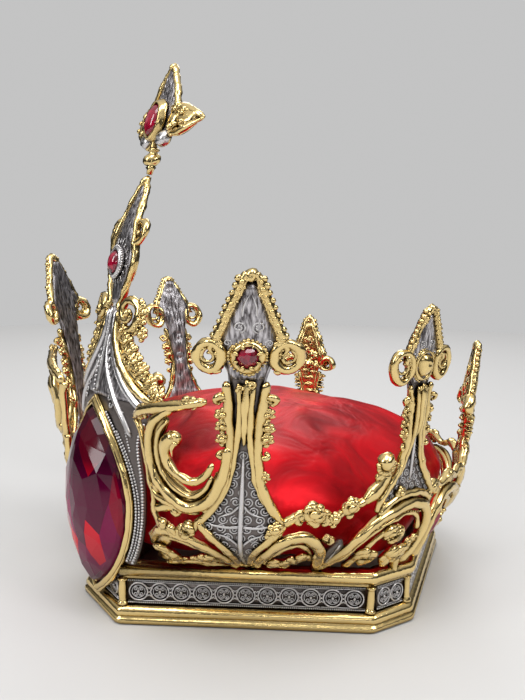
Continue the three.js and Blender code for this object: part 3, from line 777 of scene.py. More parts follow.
def filigree(sculpt, half, low, high, radius):
    """Fills a plate with rows of small wire spirals."""
    z, row = low, 0
    while z < high:
        room = half(z) - radius * 0.8
        count = max(1, int(2 * room / (2.15 * radius)) + 1)
        for k in range(count):
            u = 0 if count == 1 else -room + 2 * room * k / (count - 1)
            sculpt.spiral([u, z], radius * min(1, 0.25 + half(z) / (2.4 * radius)), radius * 0.15, 1.7,
                          start=90 * (k + row), wire=0.38, out=0.95, flip=1 if (k + row) % 2 else -1)
        z, row = z + radius * 1.9, row + 1


def build_point(name):
    facts = POINTS[name]
    plan = Plan(**facts)
    half = plan.half
    zs = np.linspace(plan.bottom, 178, 46)

    # silver plate: dark ground, midrib and filigree
    s = Sculpt()
    s.sheet([[z, -half(z), half(z)] for z in zs], 1.6, across=8, back=-1.1, mat=1, crown=0.5)
    filigree(s, half, plan.bottom + (8 if plan.vee else 3), 106, 2.3)
    if plan.vee:
        s.sweep([[0, 38, 1.2], [0, 60, 1.9], [0, 85, 1.8], [0, 106, 1.2]], [0.6, 1.2, 1.1, 0.5], 1.0,
                sides=6)
        for sign in (1, -1):
            s.sweep([[0, 70, 1.2], [sign * 7, 69.4, 1.1], [sign * 14, 70, 0.9]], [0.8, 0.5], sides=6)
            s.sweep([[sign * 0.8, 60, 1.4], [sign * 5, 64, 1.2], [sign * 9.5, 65.5, 1.0]], [0.7, 0.4],
                    sides=6)
            s.sweep([[sign * 0.8, 80, 1.4], [sign * 4.4, 76.4, 1.2], [sign * 9, 74.4, 1.0]], [0.7, 0.4],
                    sides=6)
            for low, high in ((44, 68), (73, 100)):
                s.bead_row([[sign * (half(z) - 0.6), z, 0.9] for z in np.linspace(low, high, 6)], 1.1,
                           0.45)
    else:
        s.sweep([[0, 84, 1.2], [0, 100, 1.6], [0, 118, 1.2]], [0.6, 1.0, 0.5], 0.9, sides=6)
    # arrowhead: engraved ground with curls and rays above the stone
    s.sheet([[z, -half(z) + 0.5, half(z) - 0.5] for z in np.linspace(138, 177, 20)], 0.5, across=6,
            back=0.55, mat=2, crown=0.9)
    for sign in (1, -1):
        s.spiral([sign * 3.3, 160], 2.4, 0.4, 1.7, start=-90, wire=0.42, out=1.7, flip=-sign)
        s.spiral([sign * 7.2, 153.4], 1.7, 0.3, 1.5, start=-90, wire=0.38, out=1.5, flip=-sign)
        s.sweep([[sign * 2.4, 164, 1.6], [sign * 1.9, 169, 1.6], [0, 174, 1.5]], 0.42, sides=5)
        for k in range(6):
            t = radians(25 + 26 * k)
            s.sweep([[6.2 * cos(t), 147.5 + 6.6 * sin(t), 1.4],
                     [8.8 * cos(t) * 0.9, 147.5 + 10.5 * sin(t), 1.5]], 0.3, sides=5)
    make_pair(f"{name}_point_plate", s, plan.place, [SILVER, OXIDE, ENGRAVED], "silver")

    g = Sculpt(bold=1.25 if name == "back" else 1.1)
    for sign in (1, -1):
        if plan.vee:
            g.sweep([[sign * (half(z) + 1.5), z - (2.2 if z < 35 else 0), 0.6]
                     for z in (34.5, 41, 48, 56, 63, 68.5)] + [[sign * 18.6, 71, 0.6]],
                    [2.2, 2.1, 2.1, 1.7], [2.4, 2.3, 2.1, 1.7])
            g.sweep([[sign * (half(z) + 0.1), z, 1.8] for z in (41, 48, 56, 63, 68.5)], 0.8, sides=6)
        shaft = ([[sign * 18.6, 70.2, 0.6]] + [[sign * (half(z) + 1.4), z, 0.8] for z in (75, 82, 90,
                                               98)] if plan.vee
                 else [[sign * 22.2, 69.5, 0.6]] + [[sign * (half(z) + 1.4), z, 0.8] for z in (75, 80, 86,
                                                    92, 99)])
        shaft += [[sign * (half(z) + 1.2), z, 1.2] for z in (106, 114, 122, 130, 137)]
        g.sweep(shaft, [1.5, 2.1, 2.1, 2.0, 1.9, 2.1, 1.4], [1.6, 2.2, 2.3, 2.2, 2.1, 2.1, 1.4])
        g.sweep([[sign * (half(z) - 0.6), z, 1.9] for z in (80, 90, 98)]
                + [[sign * 2.7, 108, 2.4], [sign * 2.1, 116, 2.8], [sign * 2.0, 126, 2.8],
                   [sign * 2.7, 136, 2.0]], [0.6, 0.9, 1.3, 1.4, 1.0], sides=6)
        # round loop beside the head
        wide, high = (4.7, 5.5) if plan.vee else (5.6, 8.2)
        g.ring([sign * 14.0, LOOP_V], wide, high, 2.0, 2.4, out=0.7, sides=12, count=26)
        g.spiral([sign * 14.0, LOOP_V], high * 0.62, high * 0.2, 1.1, start=90, wire=0.9, out=1.6,
                 flip=-sign)
        g.comma([sign * 8.6, 153.0, 1.4], facing(20, sign), 8.5, 1.5, turn=-sign * 0.7, rise=0.2)
        g.comma([sign * 9.4, 142.0, 1.2], facing(-50, sign), 5.0, 1.3, turn=sign * 0.9, rise=0.3)
        # serrated edge of the arrowhead
        edge = ([[sign * (half(z) + 0.9), z, 0.6] for z in (147, 150, 154, 159, 164, 170, 175, 179)]
                + [[sign * 0.9, 181.5, 0.6]])
        g.sweep(edge, [1.5, 2.0, 1.8, 1.6], [1.8, 2.2, 2.0, 1.8])
        for q in spaced(edge, 3.0)[:-1]:
            g.beads([[q[0] - sign * 1.2, q[1], 2.0]], 0.8)
            g.beads([[q[0] + sign * 1.3, q[1] + 0.6, 1.0]], 1.5)
            g.beads([[q[0] + sign * 0.4, q[1] - 0.8, 2.2]], 1.0)
        # leafy crockets up the stem
        for k in range(3):
            up = 111 + 5.6 * k
            g.leaf_lump([sign * 7.9, up, 1.2], sign, 2.5)
        g.leaf_lump([sign * 8.4, 93.5, 1.0], sign, 2.1)
        g.leaf_lump([sign * 7.2, 128.6, 1.0], sign, 2.0)
        g.comma([sign * 7.0, 129, 1.0], facing(60, sign), 7.5, 1.5, turn=-sign * 0.9)
        g.comma([sign * 6.6, 104, 1.0], facing(-60, sign), 5.5, 1.2, turn=sign * 0.9)
    g.sweep([[0, 108, 2.2], [0, 118, 3.2], [0, 128, 3.2], [0, 138, 2.2]], [0.6, 1.2, 1.4, 0.9],
            [0.9, 1.5, 1.6, 1.0])
    g.foliage([0, 134.5], 5.0, count=5, lean=90, lift=1.6)
    g.knob([0, 180.2], (2.8, 2.5, 0.6, -1.2, -1.6), 2.7, 3.2)
    if plan.vee:
        g.knob([0, 35], (3.0, 2.6, 0.4, -1.2, -1.6), 3.6, 2.6, shoulder=0.6, foot=0.6)
    else:
        g.sweep([[-21.5, 68.5, 0.6], [-15, 73, 0.8], [-7, 75.6, 0.9], [0, 76.2, 1.0], [7, 75.6, 0.9],
                 [15, 73, 0.8], [21.5, 68.5, 0.6]], 2.3, 2.4)
    # the back of the point: engraved silver, or plain gold on the rear pair
    g.sheet([[z, -half(z) - 0.8, half(z) + 0.8] for z in zs], 0.5, across=6, back=-1.7,
            mat=0 if name == "back" else 1)
    if name == "back":
        for u, z, size in ((0, 166, 5), (-3, 158, 6), (3.4, 156, 6), (-6, 149, 6), (0, 149, 7),
                           (6, 148, 6), (-3, 140, 6), (3, 138, 6), (0, 128, 6), (-1, 117, 6),
                           (2, 106, 6), (-2, 96, 6)):
            g.foliage([u, z], size, count=5, lean=90 - 12 * u, lift=-2.4)
    make_pair(f"{name}_point_frame", g, plan.place, [GOLD, ENGRAVED], "gold")

    if name == "front":
        build_stone(f"{name}_point", plan, [0, LOOP_V], 3.9, 4.4)
    else:
        b = Sculpt()
        b.turned([0, LOOP_V], [[0, 0, 4.6], [0, 0.35, 4.4], [0, 0.75, 3.4], [0, 1, 1.6], [0, 1, 0.9],
                               [0, 0, 0.9]], 5.0, 7.0, sides=24)
        b.ring([0, LOOP_V], 5.9, 7.9, 1.1, out=1.5)
        b.bead_row(oval([0, LOOP_V], 7.3, 9.4, 1.3, 12), 1.6, 0.7, closed=True)
        make_pair(f"{name}_point_boss", b, plan.place, [GOLD], "gold")


def brilliant(centre, a, b, out):
    """Points of a faceted round or oval stone."""
    high, deep = 2.6, 1.6
    points = []
    for count, share, height, turn in ((16, 1.0, 0.0, 0), (16, 0.97, 0.35, 0),
                                       (8, 0.62, high * 0.78, 0.5), (8, 0.4, high, 0)):
        for k in range(count):
            t = 2 * pi * (k + turn) / count
            points.append([centre[0] + a * share * cos(t), centre[1] + b * share * sin(t), out + height])
    points += [[centre[0] + a * 0.5 * cos(t), centre[1] + b * 0.5 * sin(t), out - deep]
               for t in circle(8)]
    return points


def build_stone(node_name, plan, at, a, b):
    g = Sculpt()
    g.hull(brilliant(at, a, b, 2.6))
    make_pair(f"{node_name}_stone", g, plan.place, [RUBY], "ruby", smooth=False)
    c = Sculpt()
    c.turned(at, [[0.2, 1, 0.6], [2.6, 1, 0.6], [2.8, 1, 1.8], [1.9, 1, 2.8], [1.2, 1, 3.4],
                  [0.3, 1, 3.5], [0.2, 1, 2.2]], a, b, sides=28)
    c.bead_row(oval(at, a + 2.7, b + 2.7, 1.7, 16), 1.5, 0.7, closed=True)
    for k in range(8):
        t = 2 * pi * (k + 0.5) / 8
        u, v = cos(t), sin(t)
        c.sweep([[at[0] + (a + 1.3) * u, at[1] + (b + 1.3) * v, 1.8],
                 [at[0] + (a + 0.8) * u, at[1] + (b + 0.8) * v, 3.6],
                 [at[0] + (a - 0.5) * u, at[1] + (b - 0.5) * v, 4.1]], [0.75, 0.6, 0.4], sides=6)
    make_pair(f"{node_name}_collet", c, plan.place, [GOLD], "gold")


# ---- gallery and scrolls ----
def build_gallery():
    g = Sculpt(bold=1.55)
    g.route([[24.5, 48], [27.5, 56], [32, 61.5], [37, 61], [41.5, 57], [44.6, 49], [46.2, 41],
             [46.8, 33.6]], 0.8, [1.6, 2.1, 1.9, 1.9, 2.2], [1.8, 2.2, 2.0, 2.0, 2.4])
    g.route([[24.6, 40], [27.6, 49], [32, 56.2], [36.5, 56.4], [40.4, 52], [43, 45], [44.6, 35]], 0.2, 0.9)
    g.route([[24, 33.6], [28, 37.4], [33, 36.6], [38, 34.6], [43.5, 33.8]], 1.0,
            [0.8, 2.4, 2.0, 1.2, 0.6], 1.6)
    g.route([[31.5, 61.5], [30.4, 68], [29.6, 75], [29.4, 81]], 0.8, [1.6, 1.2, 1.3], 1.4)
    g.route([[37.5, 61], [40.2, 66], [41.6, 71], [43.5, 74]], 0.8, [1.4, 1.0, 1.0], 1.2)
    g.route([[30, 72], [33.5, 74.5], [37, 76], [42, 74.5]], 0.9, [1.2, 1.8, 1.6, 1.0], 1.6)
    g.route([[23.5, 34], [28, 35.4], [33, 37.4], [38, 38.4], [43.5, 36.5]], 2.2, [0.6, 1.2, 1.6, 1.3, 0.6])
    g.route([[24, 35], [26, 43], [28.6, 51], [32.5, 58]], 0.4, [3.4, 3.6, 2.6, 1.4], [1.6, 1.6, 1.4, 1.0])
    g.foliage([28.4 * DEG, 44], 10, count=7, lean=20)
    g.foliage([40.4 * DEG, 44], 8, count=6, lean=120, lift=0.2)
    g.foliage([33.5 * DEG, 64.5], 7, count=5, lean=60)
    g.foliage([38.5 * DEG, 66], 7, count=5, lean=120)
    g.foliage([36.6 * DEG, 40.5], 6.5, count=5, lean=90, lift=0.2)
    g.foliage([36.6 * DEG, 75], 5.5, count=5, lean=-60)
    g.bead_row(body_route([[26, 52], [31, 59.2], [37, 58.7], [41, 54.8]], 1.4), 2.2, 0.55)
    make_pair("gallery_front", g, on_body, [GOLD, SILVER], "gold")

    g = Sculpt(bold=1.55)
    g.route([[53.2, 33.6], [54.2, 44], [56.6, 54], [60.5, 62], [65, 62.5], [68.5, 56], [71, 46],
             [73.6, 34], [76, 45], [78.5, 56], [83, 65], [89, 69], [95, 70], [101, 65.5], [103.5, 55],
             [101.5, 44], [98.5, 34]], 0.8, [2.2, 1.9, 2.2, 1.9, 2.4, 1.9, 2.1, 1.9, 2.1],
            [2.4, 2.0, 2.3, 2.0, 2.4, 2.0, 2.2])
    g.route([[55.8, 38], [57.4, 47], [60.2, 55.5], [64, 57.6], [67, 51.5], [69.4, 41]], 0.2, 0.9)
    g.route([[78.6, 42], [80.6, 52], [84.6, 60], [90, 63.6], [95.4, 64.6], [99.4, 60], [100.6, 53]], 0.2,
            0.9)
    # run of buds from the tallest point's lozenge to the middle point
    g.route([[59.5, 70.5], [63, 74.5], [67, 75.5], [70.5, 70.5], [74.5, 75], [79, 77], [82.5, 83],
             [85.4, 90]], 0.8, [1.6, 1.4, 1.2, 1.2, 1.6, 1.3], 1.5)
    g.clusters(((64.5, 74, 7, 80), (68.6, 73, 5.5, 60), (75.4, 76, 6.5, 100), (83.4, 88, 5.5, 100)),
               count=5, lift=0.6)
    g.beads([[83.6 * DEG, 95.4, 1.6]], 4.6, template=BALL)
    for k in range(9):
        t = pi * (1.02 + 0.12 * k)
        g.beads([[83.6 * DEG + 4.9 * cos(t), 94.4 + 4.4 * sin(t), 2.6]], 1.4)
    # column between the two arches and the foot of the middle point
    g.route([[81.6, 34], [82.4, 44], [84.4, 53], [88, 60.5]], 0.6, [1.5, 1.3, 1.2, 1.0])
    g.route([[97.4, 27.5], [97.2, 33], [95.4, 41], [92.4, 48]], 0.8, [1.4, 1.7, 1.2, 0.9])
    for sign in (1, -1):
        g.route([[73.6, 33.6], [73.9 + sign * 3.4, 42], [73.9 + sign * 5.2, 50]], 1.6, [1.6, 1.2, 0.9])
    g.route([[78.6, 76.5], [81, 80], [83.4, 84.6], [85.4, 89.5]], 1.2, [1.4, 2.4, 2.2, 1.3],
            [1.4, 2.2, 2.0, 1.2])
    for angle, up, out, side, size in ((65.6, 75, 1.4, 1, 4.6), (67.4, 73, 1.4, -1, 3.8),
                                       (74.6, 75.5, 1.4, 1, 4.0), (71.6, 70.5, 1.0, -1, 3.0),
                                       (58.4, 68.5, 1.0, -1, 3.2), (89.5, 77, 1.0, 1, 3.0)):
        g.leaf_lump([angle * DEG, up, out], side, size)
    g.clusters(((60, 41, 10, 80), (64.4, 46, 8.5, 120), (84, 44, 9, 70), (93, 42, 10, 90),
                (90, 56, 8.5, 60), (99, 47, 6, 120), (57.6, 66, 5, 130), (70.6, 60, 5, 60),
                (86, 72.5, 5, 90)))
    g.beads([[73.6 * DEG, 35.6, 2.2]], 2.3, template=BALL)
    # small silver lozenge between the two arches
    lozenge = ((36, 73.4, 74.2), (41, 72.6, 75.0), (46, 71.6, 76.0), (50, 71.4, 76.2), (54, 72.6, 75.6),
               (58, 73.7, 74.7))
    g.sheet([[up, left * DEG, right * DEG] for up, left, right in lozenge], 1.8, mat=2, across=4,
            back=-0.8, crown=0.7)
    g.route([[73.8, 40], [73.9, 48], [74.1, 56]], 1.8, 0.4, mat=1)
    g.bead_row(body_route([[55.6, 50], [60, 59.4], [65, 60.2], [69, 51.5]], 1.6), 2.2, 0.55)
    g.bead_row(body_route([[80, 57], [85, 63.4], [92, 66.6], [99, 64]], 1.6), 2.2, 0.55)
    make_pair("gallery_side", g, on_body, [GOLD, SILVER, OXIDE], "gold")

    g = Sculpt(bold=1.55)
    g.route([[104.6, 34], [105.6, 45], [107.8, 59], [113, 66.5], [119, 66], [126, 59], [132, 47],
             [135.5, 34]], 0.8, [2.1, 1.8, 2.1, 1.8, 2.2], [2.3, 2.0, 2.2, 2.0, 2.4])
    g.route([[107, 38], [108.6, 50], [111, 58.4], [116, 61.6], [121, 58.6], [127, 50], [131, 40]], 0.2,
            0.9)
    g.route([[101, 70], [105, 76], [110, 72], [115, 76], [121, 72], [126, 74], [131, 71]], 0.6,
            [1.5, 1.1, 1.5, 1.1], 1.4)
    g.clusters(((105.5, 74, 6, 90), (115, 74, 6.5, 90), (126, 72, 6, 90), (120.5, 43, 8, 90),
                (126, 44, 7, 110), (107.4, 40, 6, 60), (131, 58, 5, 100)))
    g.bead_row(body_route([[108, 55], [113, 63.4], [119, 63], [126, 56]], 1.6), 2.2, 0.55)
    make_pair("gallery_rear", g, on_body, [GOLD], "gold")

    g = Sculpt(bold=1.55)
    g.route([[147, 34], [149, 48], [155, 60], [163, 63], [170, 57], [175, 45], [180, 35.5]], 0.8,
            [2.1, 1.8, 2.1, 1.9, 2.3], [2.3, 2.0, 2.2, 2.0, 2.4])
    g.route([[150.6, 38], [152.6, 48], [157, 56], [163, 58], [168, 52.6], [172, 43]], 0.2, 0.9)
    g.route([[148, 68], [153, 73], [159, 69], [165, 72], [171, 68], [176, 70], [180, 74]], 0.6,
            [1.4, 1.1, 1.4, 1.1], 1.4)
    g.clusters(((157, 42, 8, 90), (163, 44, 8, 100), (153, 72, 6, 90), (165, 71, 6.5, 90),
                (176, 60, 7, 90), (172, 62, 5, 120)))
    g.verts = [v - [pi * WRAP_R, 0, 0] for v in g.verts]
    g.mirrored()
    g.foliage([0, 70], 7, count=6, lean=90)
    g.beads([[0, 77, 1.0]], 2.2, template=BALL)
    g.verts = [v + [pi * WRAP_R, 0, 0] for v in g.verts]
    make("gallery_back_detail", g, on_body, [GOLD], "gold", ["gallery_back"])


def build_front_scrolls():
    g = Sculpt(bold=1.3)
    g.route([[24.6, 113], [29, 118.5], [34.3, 121.8], [39.5, 124.4], [44.9, 127.4]], 2.0,
            [1.6, 2.0, 2.3, 1.9, 1.5], [1.8, 2.2, 2.4, 2.0, 1.6])
    g.route([[37.5, 122.5], [32.8, 116], [30.6, 107], [30.3, 98.5], [31.8, 89], [35, 82], [39.6, 77.5],
             [44, 81], [46.6, 90], [48, 99], [48.8, 108]], 2.4, [1.5, 2.0, 2.3, 2.5, 2.3, 1.9, 1.3],
            [1.7, 2.2, 2.6, 2.8, 2.4, 2.0, 1.4], sides=10)
    g.route([[36.4, 117], [33.8, 110], [32.9, 102], [33.6, 93.5], [36.4, 86.5], [40.4, 83], [43.6, 87],
             [45.4, 94]], 3.4, [0.8, 1.1, 1.3, 1.2, 0.8], sides=6)
    g.route([[38.2, 110.6], [36.0, 107], [35.2, 102], [36.0, 96.4], [38.4, 92], [41.4, 90.6], [44, 93.5],
             [45.8, 100]], 3.8, [2.6, 2.9, 2.0, 1.7, 1.6, 1.3, 0.9], [2.6, 2.8, 2.1, 1.8, 1.6, 1.2, 0.8],
            sides=10)
    g.route([[38.6, 108.6], [37.5, 105], [37.4, 101]], 6.0, [1.1, 0.9, 0.5], sides=6)
    # solid cast body under the strands
    g.route([[35.6, 118], [32.4, 110], [31.4, 100], [32.6, 91], [36, 83.5], [40.4, 80], [44, 84],
             [46.4, 92]], 0.9, [2.4, 3.6, 4.2, 4.4, 4.0, 3.2, 2.0], [1.2, 1.5, 1.7, 1.7, 1.5, 1.2, 0.9])
    g.knob([37.9 * DEG, 109.6], (6.8, 6.2, 4.2, 1.6, 0.8), 3.2, 3.6, shoulder=0.6, foot=0.8, sides=16)
    g.route([[24.4, 113], [26.4, 108.5], [27.4, 102], [28.2, 92], [29.2, 83], [31.5, 78.5], [36, 77],
             [40, 76]], 1.2, [1.7, 1.4, 1.3, 1.4, 1.9, 1.6], [1.9, 1.6, 1.5, 1.6, 2.0, 1.7])
    g.beads([[31.6 * DEG, 84, 2.2]], 2.9, template=BALL)
    for k in range(7):
        t = 2 * pi * k / 7
        g.beads([[31.6 * DEG + 2.9 * cos(t), 84 + 2.9 * sin(t), 1.6]], 1.05)
    g.foliage([41.6 * DEG, 126.5], 5, count=4, lean=80, lift=1.6)
    g.foliage([28.5 * DEG, 118], 6, count=4, lean=100, lift=1.4)
    g.foliage([36.4 * DEG, 78], 5, count=5, lean=-90, lift=1.2)
    g.foliage([43.6 * DEG, 79], 4.6, count=4, lean=-40, lift=1.4)
    make_pair("front_scroll", g, on_body, [GOLD], "gold")


def build_side_stones():
    at = [113 * DEG, 47.5]

    def place(p):
        return on_body(p + [0, 0, 1.0])

    g = Sculpt()
    points = []
    for share, out, count in ((1.0, 0.2, 16), (0.98, 0.6, 16), (0.5, 2.6, 10)):
        for k in range(count):
            v = 10 * cos(2 * pi * k / count)
            u = copysign(almond(4.6, 10, v), sin(2 * pi * k / count))
            points.append([at[0] + u * share, at[1] + v * share, out])
    points += [[at[0], at[1] + v, -1.6] for v in (-5, 0, 5)] + [[at[0] - 2, at[1], -1.4],
                                                                [at[0] + 2, at[1], -1.4]]
    g.hull(points)
    make_pair("side_stone", g, place, [RUBY], "ruby", smooth=False)
    c = Sculpt()
    c.turned(at, [[0.2, 1, -2.2], [2.0, 1, -2.2], [2.3, 1, -0.4], [1.3, 1, 1.0], [0.3, 1, 1.1],
                  [0.2, 1, 0]], 4.6, 10, sides=32, pointed=True)
    edge = [[at[0] + copysign(almond(7.0, 13.8, v), s), at[1] + v, -0.6] for s in (1, -1)
            for v in (np.linspace(13.4, -13.4, 14) if s > 0 else np.linspace(-13.4, 13.4, 14))]
    c.bead_row(edge, 1.4, 0.55)
    make_pair("side_collet", c, place, [GOLD], "gold")


# ---- front ----
def build_front_stone():
    g = Sculpt()
    points = []
    for share, out, count, turn in ((1.0, 0.6, 44, 0), (0.99, 3.2, 44, 0), (0.93, 6.8, 24, 0.5),
                                    (0.74, 11.4, 12, 0), (0.48, 15.0, 10, 0.5), (0.2, 16.8, 8, 0)):
        for k in range(count):
            t = 2 * pi * (k + turn) / count
            v = GEM_B * cos(t)
            u = copysign(almond(GEM_A, GEM_B, v), sin(t))
            points.append([u * share, GEM_Z + v * share, out])
    g.hull(points)
    make("front_stone_detail", g, on_front, [DEEP_RUBY], "ruby", ["front_stone"], smooth=False)

    b = Sculpt()
    b.turned([0, GEM_Z], [[0.25, 1, 0], [2.4, 1, 0], [3.2, 1, 1.6], [3.0, 1, 2.4], [1.7, 1, 4.2],
                          [0.9, 1, 4.7], [0.25, 1, 4.5], [0.25, 1, 2.6]], GEM_A, GEM_B, sides=64,
             pointed=True)
    b.turned([0, GEM_Z], [[2.3, 1, 2.6], [3.0, 1, 2.6], [3.3, 1, 3.1], [2.9, 1, 3.6], [2.3, 1, 3.5]],
             GEM_A, GEM_B, sides=64, pointed=True)
    make("front_bezel_detail", b, on_front, [GOLD], "gold", ["front_bezel"])


PLAQUE_WIDTH = [[33.6, 30], [42, 33.5], [54, 36.2], [68, 37], [80, 36.5], [93, 35], [102, 36], [110, 40],
                [115, 40], [122, 26], [130, 15], [139, 8], [148, 4], [159.5, 3.2]]


def build_plaque():
    grow_a, grow_b = GEM_A + 3.6, GEM_B + 5.7
    width = width_of(PLAQUE_WIDTH)

    def inner(z):
        return almond(grow_a, grow_b, z - GEM_Z) if abs(z - GEM_Z) < grow_b else 0.0

    s = Sculpt()
    top_z = GEM_Z + grow_b
    s.sheet([[z, inner(z), width(z)] for z in np.linspace(33.6, top_z - 0.3, 34)], 1.7, across=5,
            crown=0.5, mat=2)
    s.bead_row([[inner(z) + 1.1, z, 2.2] for z in np.linspace(35, 108, 12)], 1.6, 0.85)
    s.bead_row([[inner(z) + 2.9, z, 2.2] for z in np.linspace(36, 100, 12)], 1.5, 0.72)
    s.bead_row([[width(z) - 1.0, z, 2.2] for z in np.linspace(35, 106, 12)], 1.6, 0.85)
    s.bead_row([[(inner(z) + width(z)) / 2, z, 2.0] for z in np.linspace(92, 110, 6)], 1.4, 0.7)
    s.sweep([[4.0, 158, 1.8], [4.6, 149, 2.0], [8.4, 139.5, 2.2], [15.5, 130, 2.2], [24, 121.6, 2.2],
             [33, 114.6, 2.0], [39.5, 111, 1.6]], [1.6, 1.8, 2.0, 2.2, 2.1, 1.6],
            [1.8, 2.0, 2.1, 1.8, 1.4])
    s.sweep([[1.2, 146, 2.0], [2.6, 137, 2.2], [7, 128, 2.2], [15, 118.5, 2.2], [24, 108, 2.2],
             [30, 99, 2.0]], [0.8, 1.2, 1.5, 1.6, 1.2], [1.2, 1.6, 1.8, 1.4])
    for k in range(9):
        z = 146 - 3.6 * k
        s.comma([3.0 + 1.7 * k, z - 4, 2.4], -50 - 4 * k, 4.4, 0.7, turn=-0.9, rise=0.2)
    s.mirrored()
    s.sheet([[z, -width(z), width(z)] for z in np.linspace(top_z, 159.5, 26)], 1.7, across=8, crown=0.7,
            mat=1)
    s.sweep([[0, 116.8, 2.3], [0, 130, 2.8], [0, 145, 2.8], [0, 159, 2.4]], [1.2, 1.6, 1.4, 1.1],
            [1.4, 1.8, 1.6, 1.2])
    s.bead_row([[0, 118, 4.2], [0, 126, 4.6], [0, 134, 4.6]], 2.2, 0.8)
    s.sheet([[z, -width(z) + 2, width(z) - 2] for z in np.linspace(top_z, 152, 16)], 0.4, across=4,
            back=-0.5)
    make("front_plaque_detail", s, on_front, [SILVER, ENGRAVED, OXIDE], "silver", ["front_plaque"])


SPIRE_WIDTH = [[161.5, 3.6], [167, 6.8], [175, 10], [182, 11.8], [190, 11], [202, 7.8], [213, 4.2],
               [221, 1.4]]


def build_spire():
    width = width_of(SPIRE_WIDTH)
    zs = np.linspace(161.5, 221, 30)
    s = Sculpt()
    s.sheet([[z, -width(z), width(z)] for z in zs], 1.4, across=8, crown=1.1, mat=0)
    make("spire_blade_detail", s, on_front, [ENGRAVED], "silver", ["spire_blade"])

    g = Sculpt()
    edge = [[width(z) + 1.4, z, 1.0] for z in (160.6, 168, 175, 182, 189, 196, 204, 212, 219)] + [[0.8,
        223.4, 1.0]]
    g.sweep(edge, [1.4, 1.7, 1.9, 1.8, 1.6, 1.4], [2.0, 2.2, 2.4, 2.2, 1.8])
    for k, q in enumerate(spaced(edge, 2.5)[2:-1]):
        g.beads([[q[0] + 0.5, q[1], q[2] + 1.1]], 0.95)
        g.comma([q[0] + 0.6, q[1] - 0.5, 1.2], 30, 2.2, 0.7, turn=1.1)
    g.sweep([[10.4, 201.5, 1.2], [13.8, 202.2, 1.2], [17.4, 199.6, 1.2], [17.8, 195.4, 1.2],
             [15, 192, 1.2], [12, 192.4, 1.4], [11.8, 195.6, 1.8], [14, 197, 2.2], [15, 195.8, 2.4]],
            [1.3, 1.9, 2.0, 1.9, 1.4, 1.0, 0.8], sides=8)
    g.sweep([[4.2, 159.4, 1.2], [6.6, 163.5, 1.4], [9.6, 168, 1.2], [12.2, 174, 0.8]],
            [1.2, 1.7, 1.4, 0.6])
    g.comma([5.6, 158, 1.2], 20, 6.0, 1.3, turn=1.0)
    g.mirrored()
    g.knob([0, 222.6], (4.0, 3.6, 1.4, -0.4, -0.8), 2.2, 3.0)
    g.sheet([[z, -width(z) - 1, width(z) + 1] for z in zs], 0.5, across=6, back=-0.7)
    make("spire_frame_detail", g, on_front, [GOLD], "gold", ["spire_frame"])

    at = [0, 182]
    r = Sculpt()
    r.turned(at, [[0, 0, 8.0], [0, 0.3, 7.8], [0, 0.6, 7.2], [0, 0.85, 6.0], [0, 1, 4.4], [0, 0.98, 3.2],
                  [0, 0, 2.8]], 4.5, 5.9, sides=28)
    make("spire_stone_detail", r, on_front, [RUBY], "ruby", ["spire_stone"])
    c = Sculpt()
    c.turned(at, [[0.2, 1, 2.7], [1.9, 1, 2.7], [2.2, 1, 4.2], [1.2, 1, 5.4], [0.4, 1, 5.6],
                  [0.2, 1, 4.2]], 4.6, 6, sides=32)
    c.bead_row(oval(at, 6.6, 8.0, 4.2, 16), 1.3, 0.62, closed=True)
    for k in range(18):
        t = 2 * pi * k / 18
        c.sweep([[7.4 * sin(t), 182 + 8.8 * cos(t), 2.8],
                 [(9.0 + (k % 2)) * sin(t) * 0.95, 182 + (11.6 + (k % 2)) * cos(t), 2.4]], [0.5, 0.25],
                sides=5)
    make("spire_collet_detail", c, on_front, [SILVER], "silver", ["spire_collet"])


def build_spire_scrolls():
    g = Sculpt()
    curl = []
    for k in range(15):
        t = radians(-100 + 38 * k)
        r = 8.6 - 0.5 * k
        curl.append([15.8 + r * cos(t), 157.5 + r * 1.02 * sin(t), 1.6 + 0.12 * k])
    g.sweep([[9.5, 141, 1.2], [10.6, 146, 1.6]] + curl, [1.2, 2.0, 2.3, 2.2, 1.9, 1.6, 1.2, 0.9], sides=10)
    g.beads([[15.8, 157.5, 3.4]], 1.9, template=BALL)
    g.sweep([[8, 143, 0.8], [13, 138, 1.2], [22, 131, 1.4], [32, 124.5, 1.4], [41, 119, 1.0]],
            [1.4, 1.8, 1.6, 1.4, 0.9])
    g.sweep([[7.4, 158, 1.6], [6.8, 150, 1.8], [9.4, 142, 1.8], [15, 134, 1.8], [23.5, 126.4, 1.8],
             [33, 120, 1.6], [42, 115.6, 1.0]], [1.6, 2.3, 2.5, 2.5, 2.3, 2.0, 1.2],
            [1.8, 2.4, 2.6, 2.6, 2.4, 2.0, 1.4])
    for u, z, size in ((13, 148.5, 3.0), (17.5, 143.5, 3.2), (21.5, 139, 3.2), (26, 135, 3.2),
                       (31, 131, 3.0), (36, 126.6, 2.8), (24, 154.5, 2.8), (26, 148, 2.8)):
        g.leaf_lump([u, z, 1.4], 1, size)
    for u, z, size, lean in ((24.5, 160, 6.5, 10), (22.5, 151, 6.5, -20), (18, 142, 7.5, 40),
                             (23, 137, 8, 50), (28.5, 132, 7.5, 50), (34, 127.5, 7, 50),
                             (39.5, 122, 6.5, 40), (43.5, 116.5, 5.5, 20), (12, 149, 5, 170)):
        g.foliage([u, z], size, count=6, lean=lean, lift=1.0)
    g.beads([[26.6, 158, 1.6], [33, 131.4, 1.8], [43.6, 121, 1.4]], 1.5, template=BALL)
    make_pair("spire_scroll", g, on_front, [GOLD], "gold")


FINIAL_WIDTH = [[243.6, 4], [248, 9.6], [253, 12.5], [259, 12], [267, 8.6], [275, 4.2], [279, 1]]


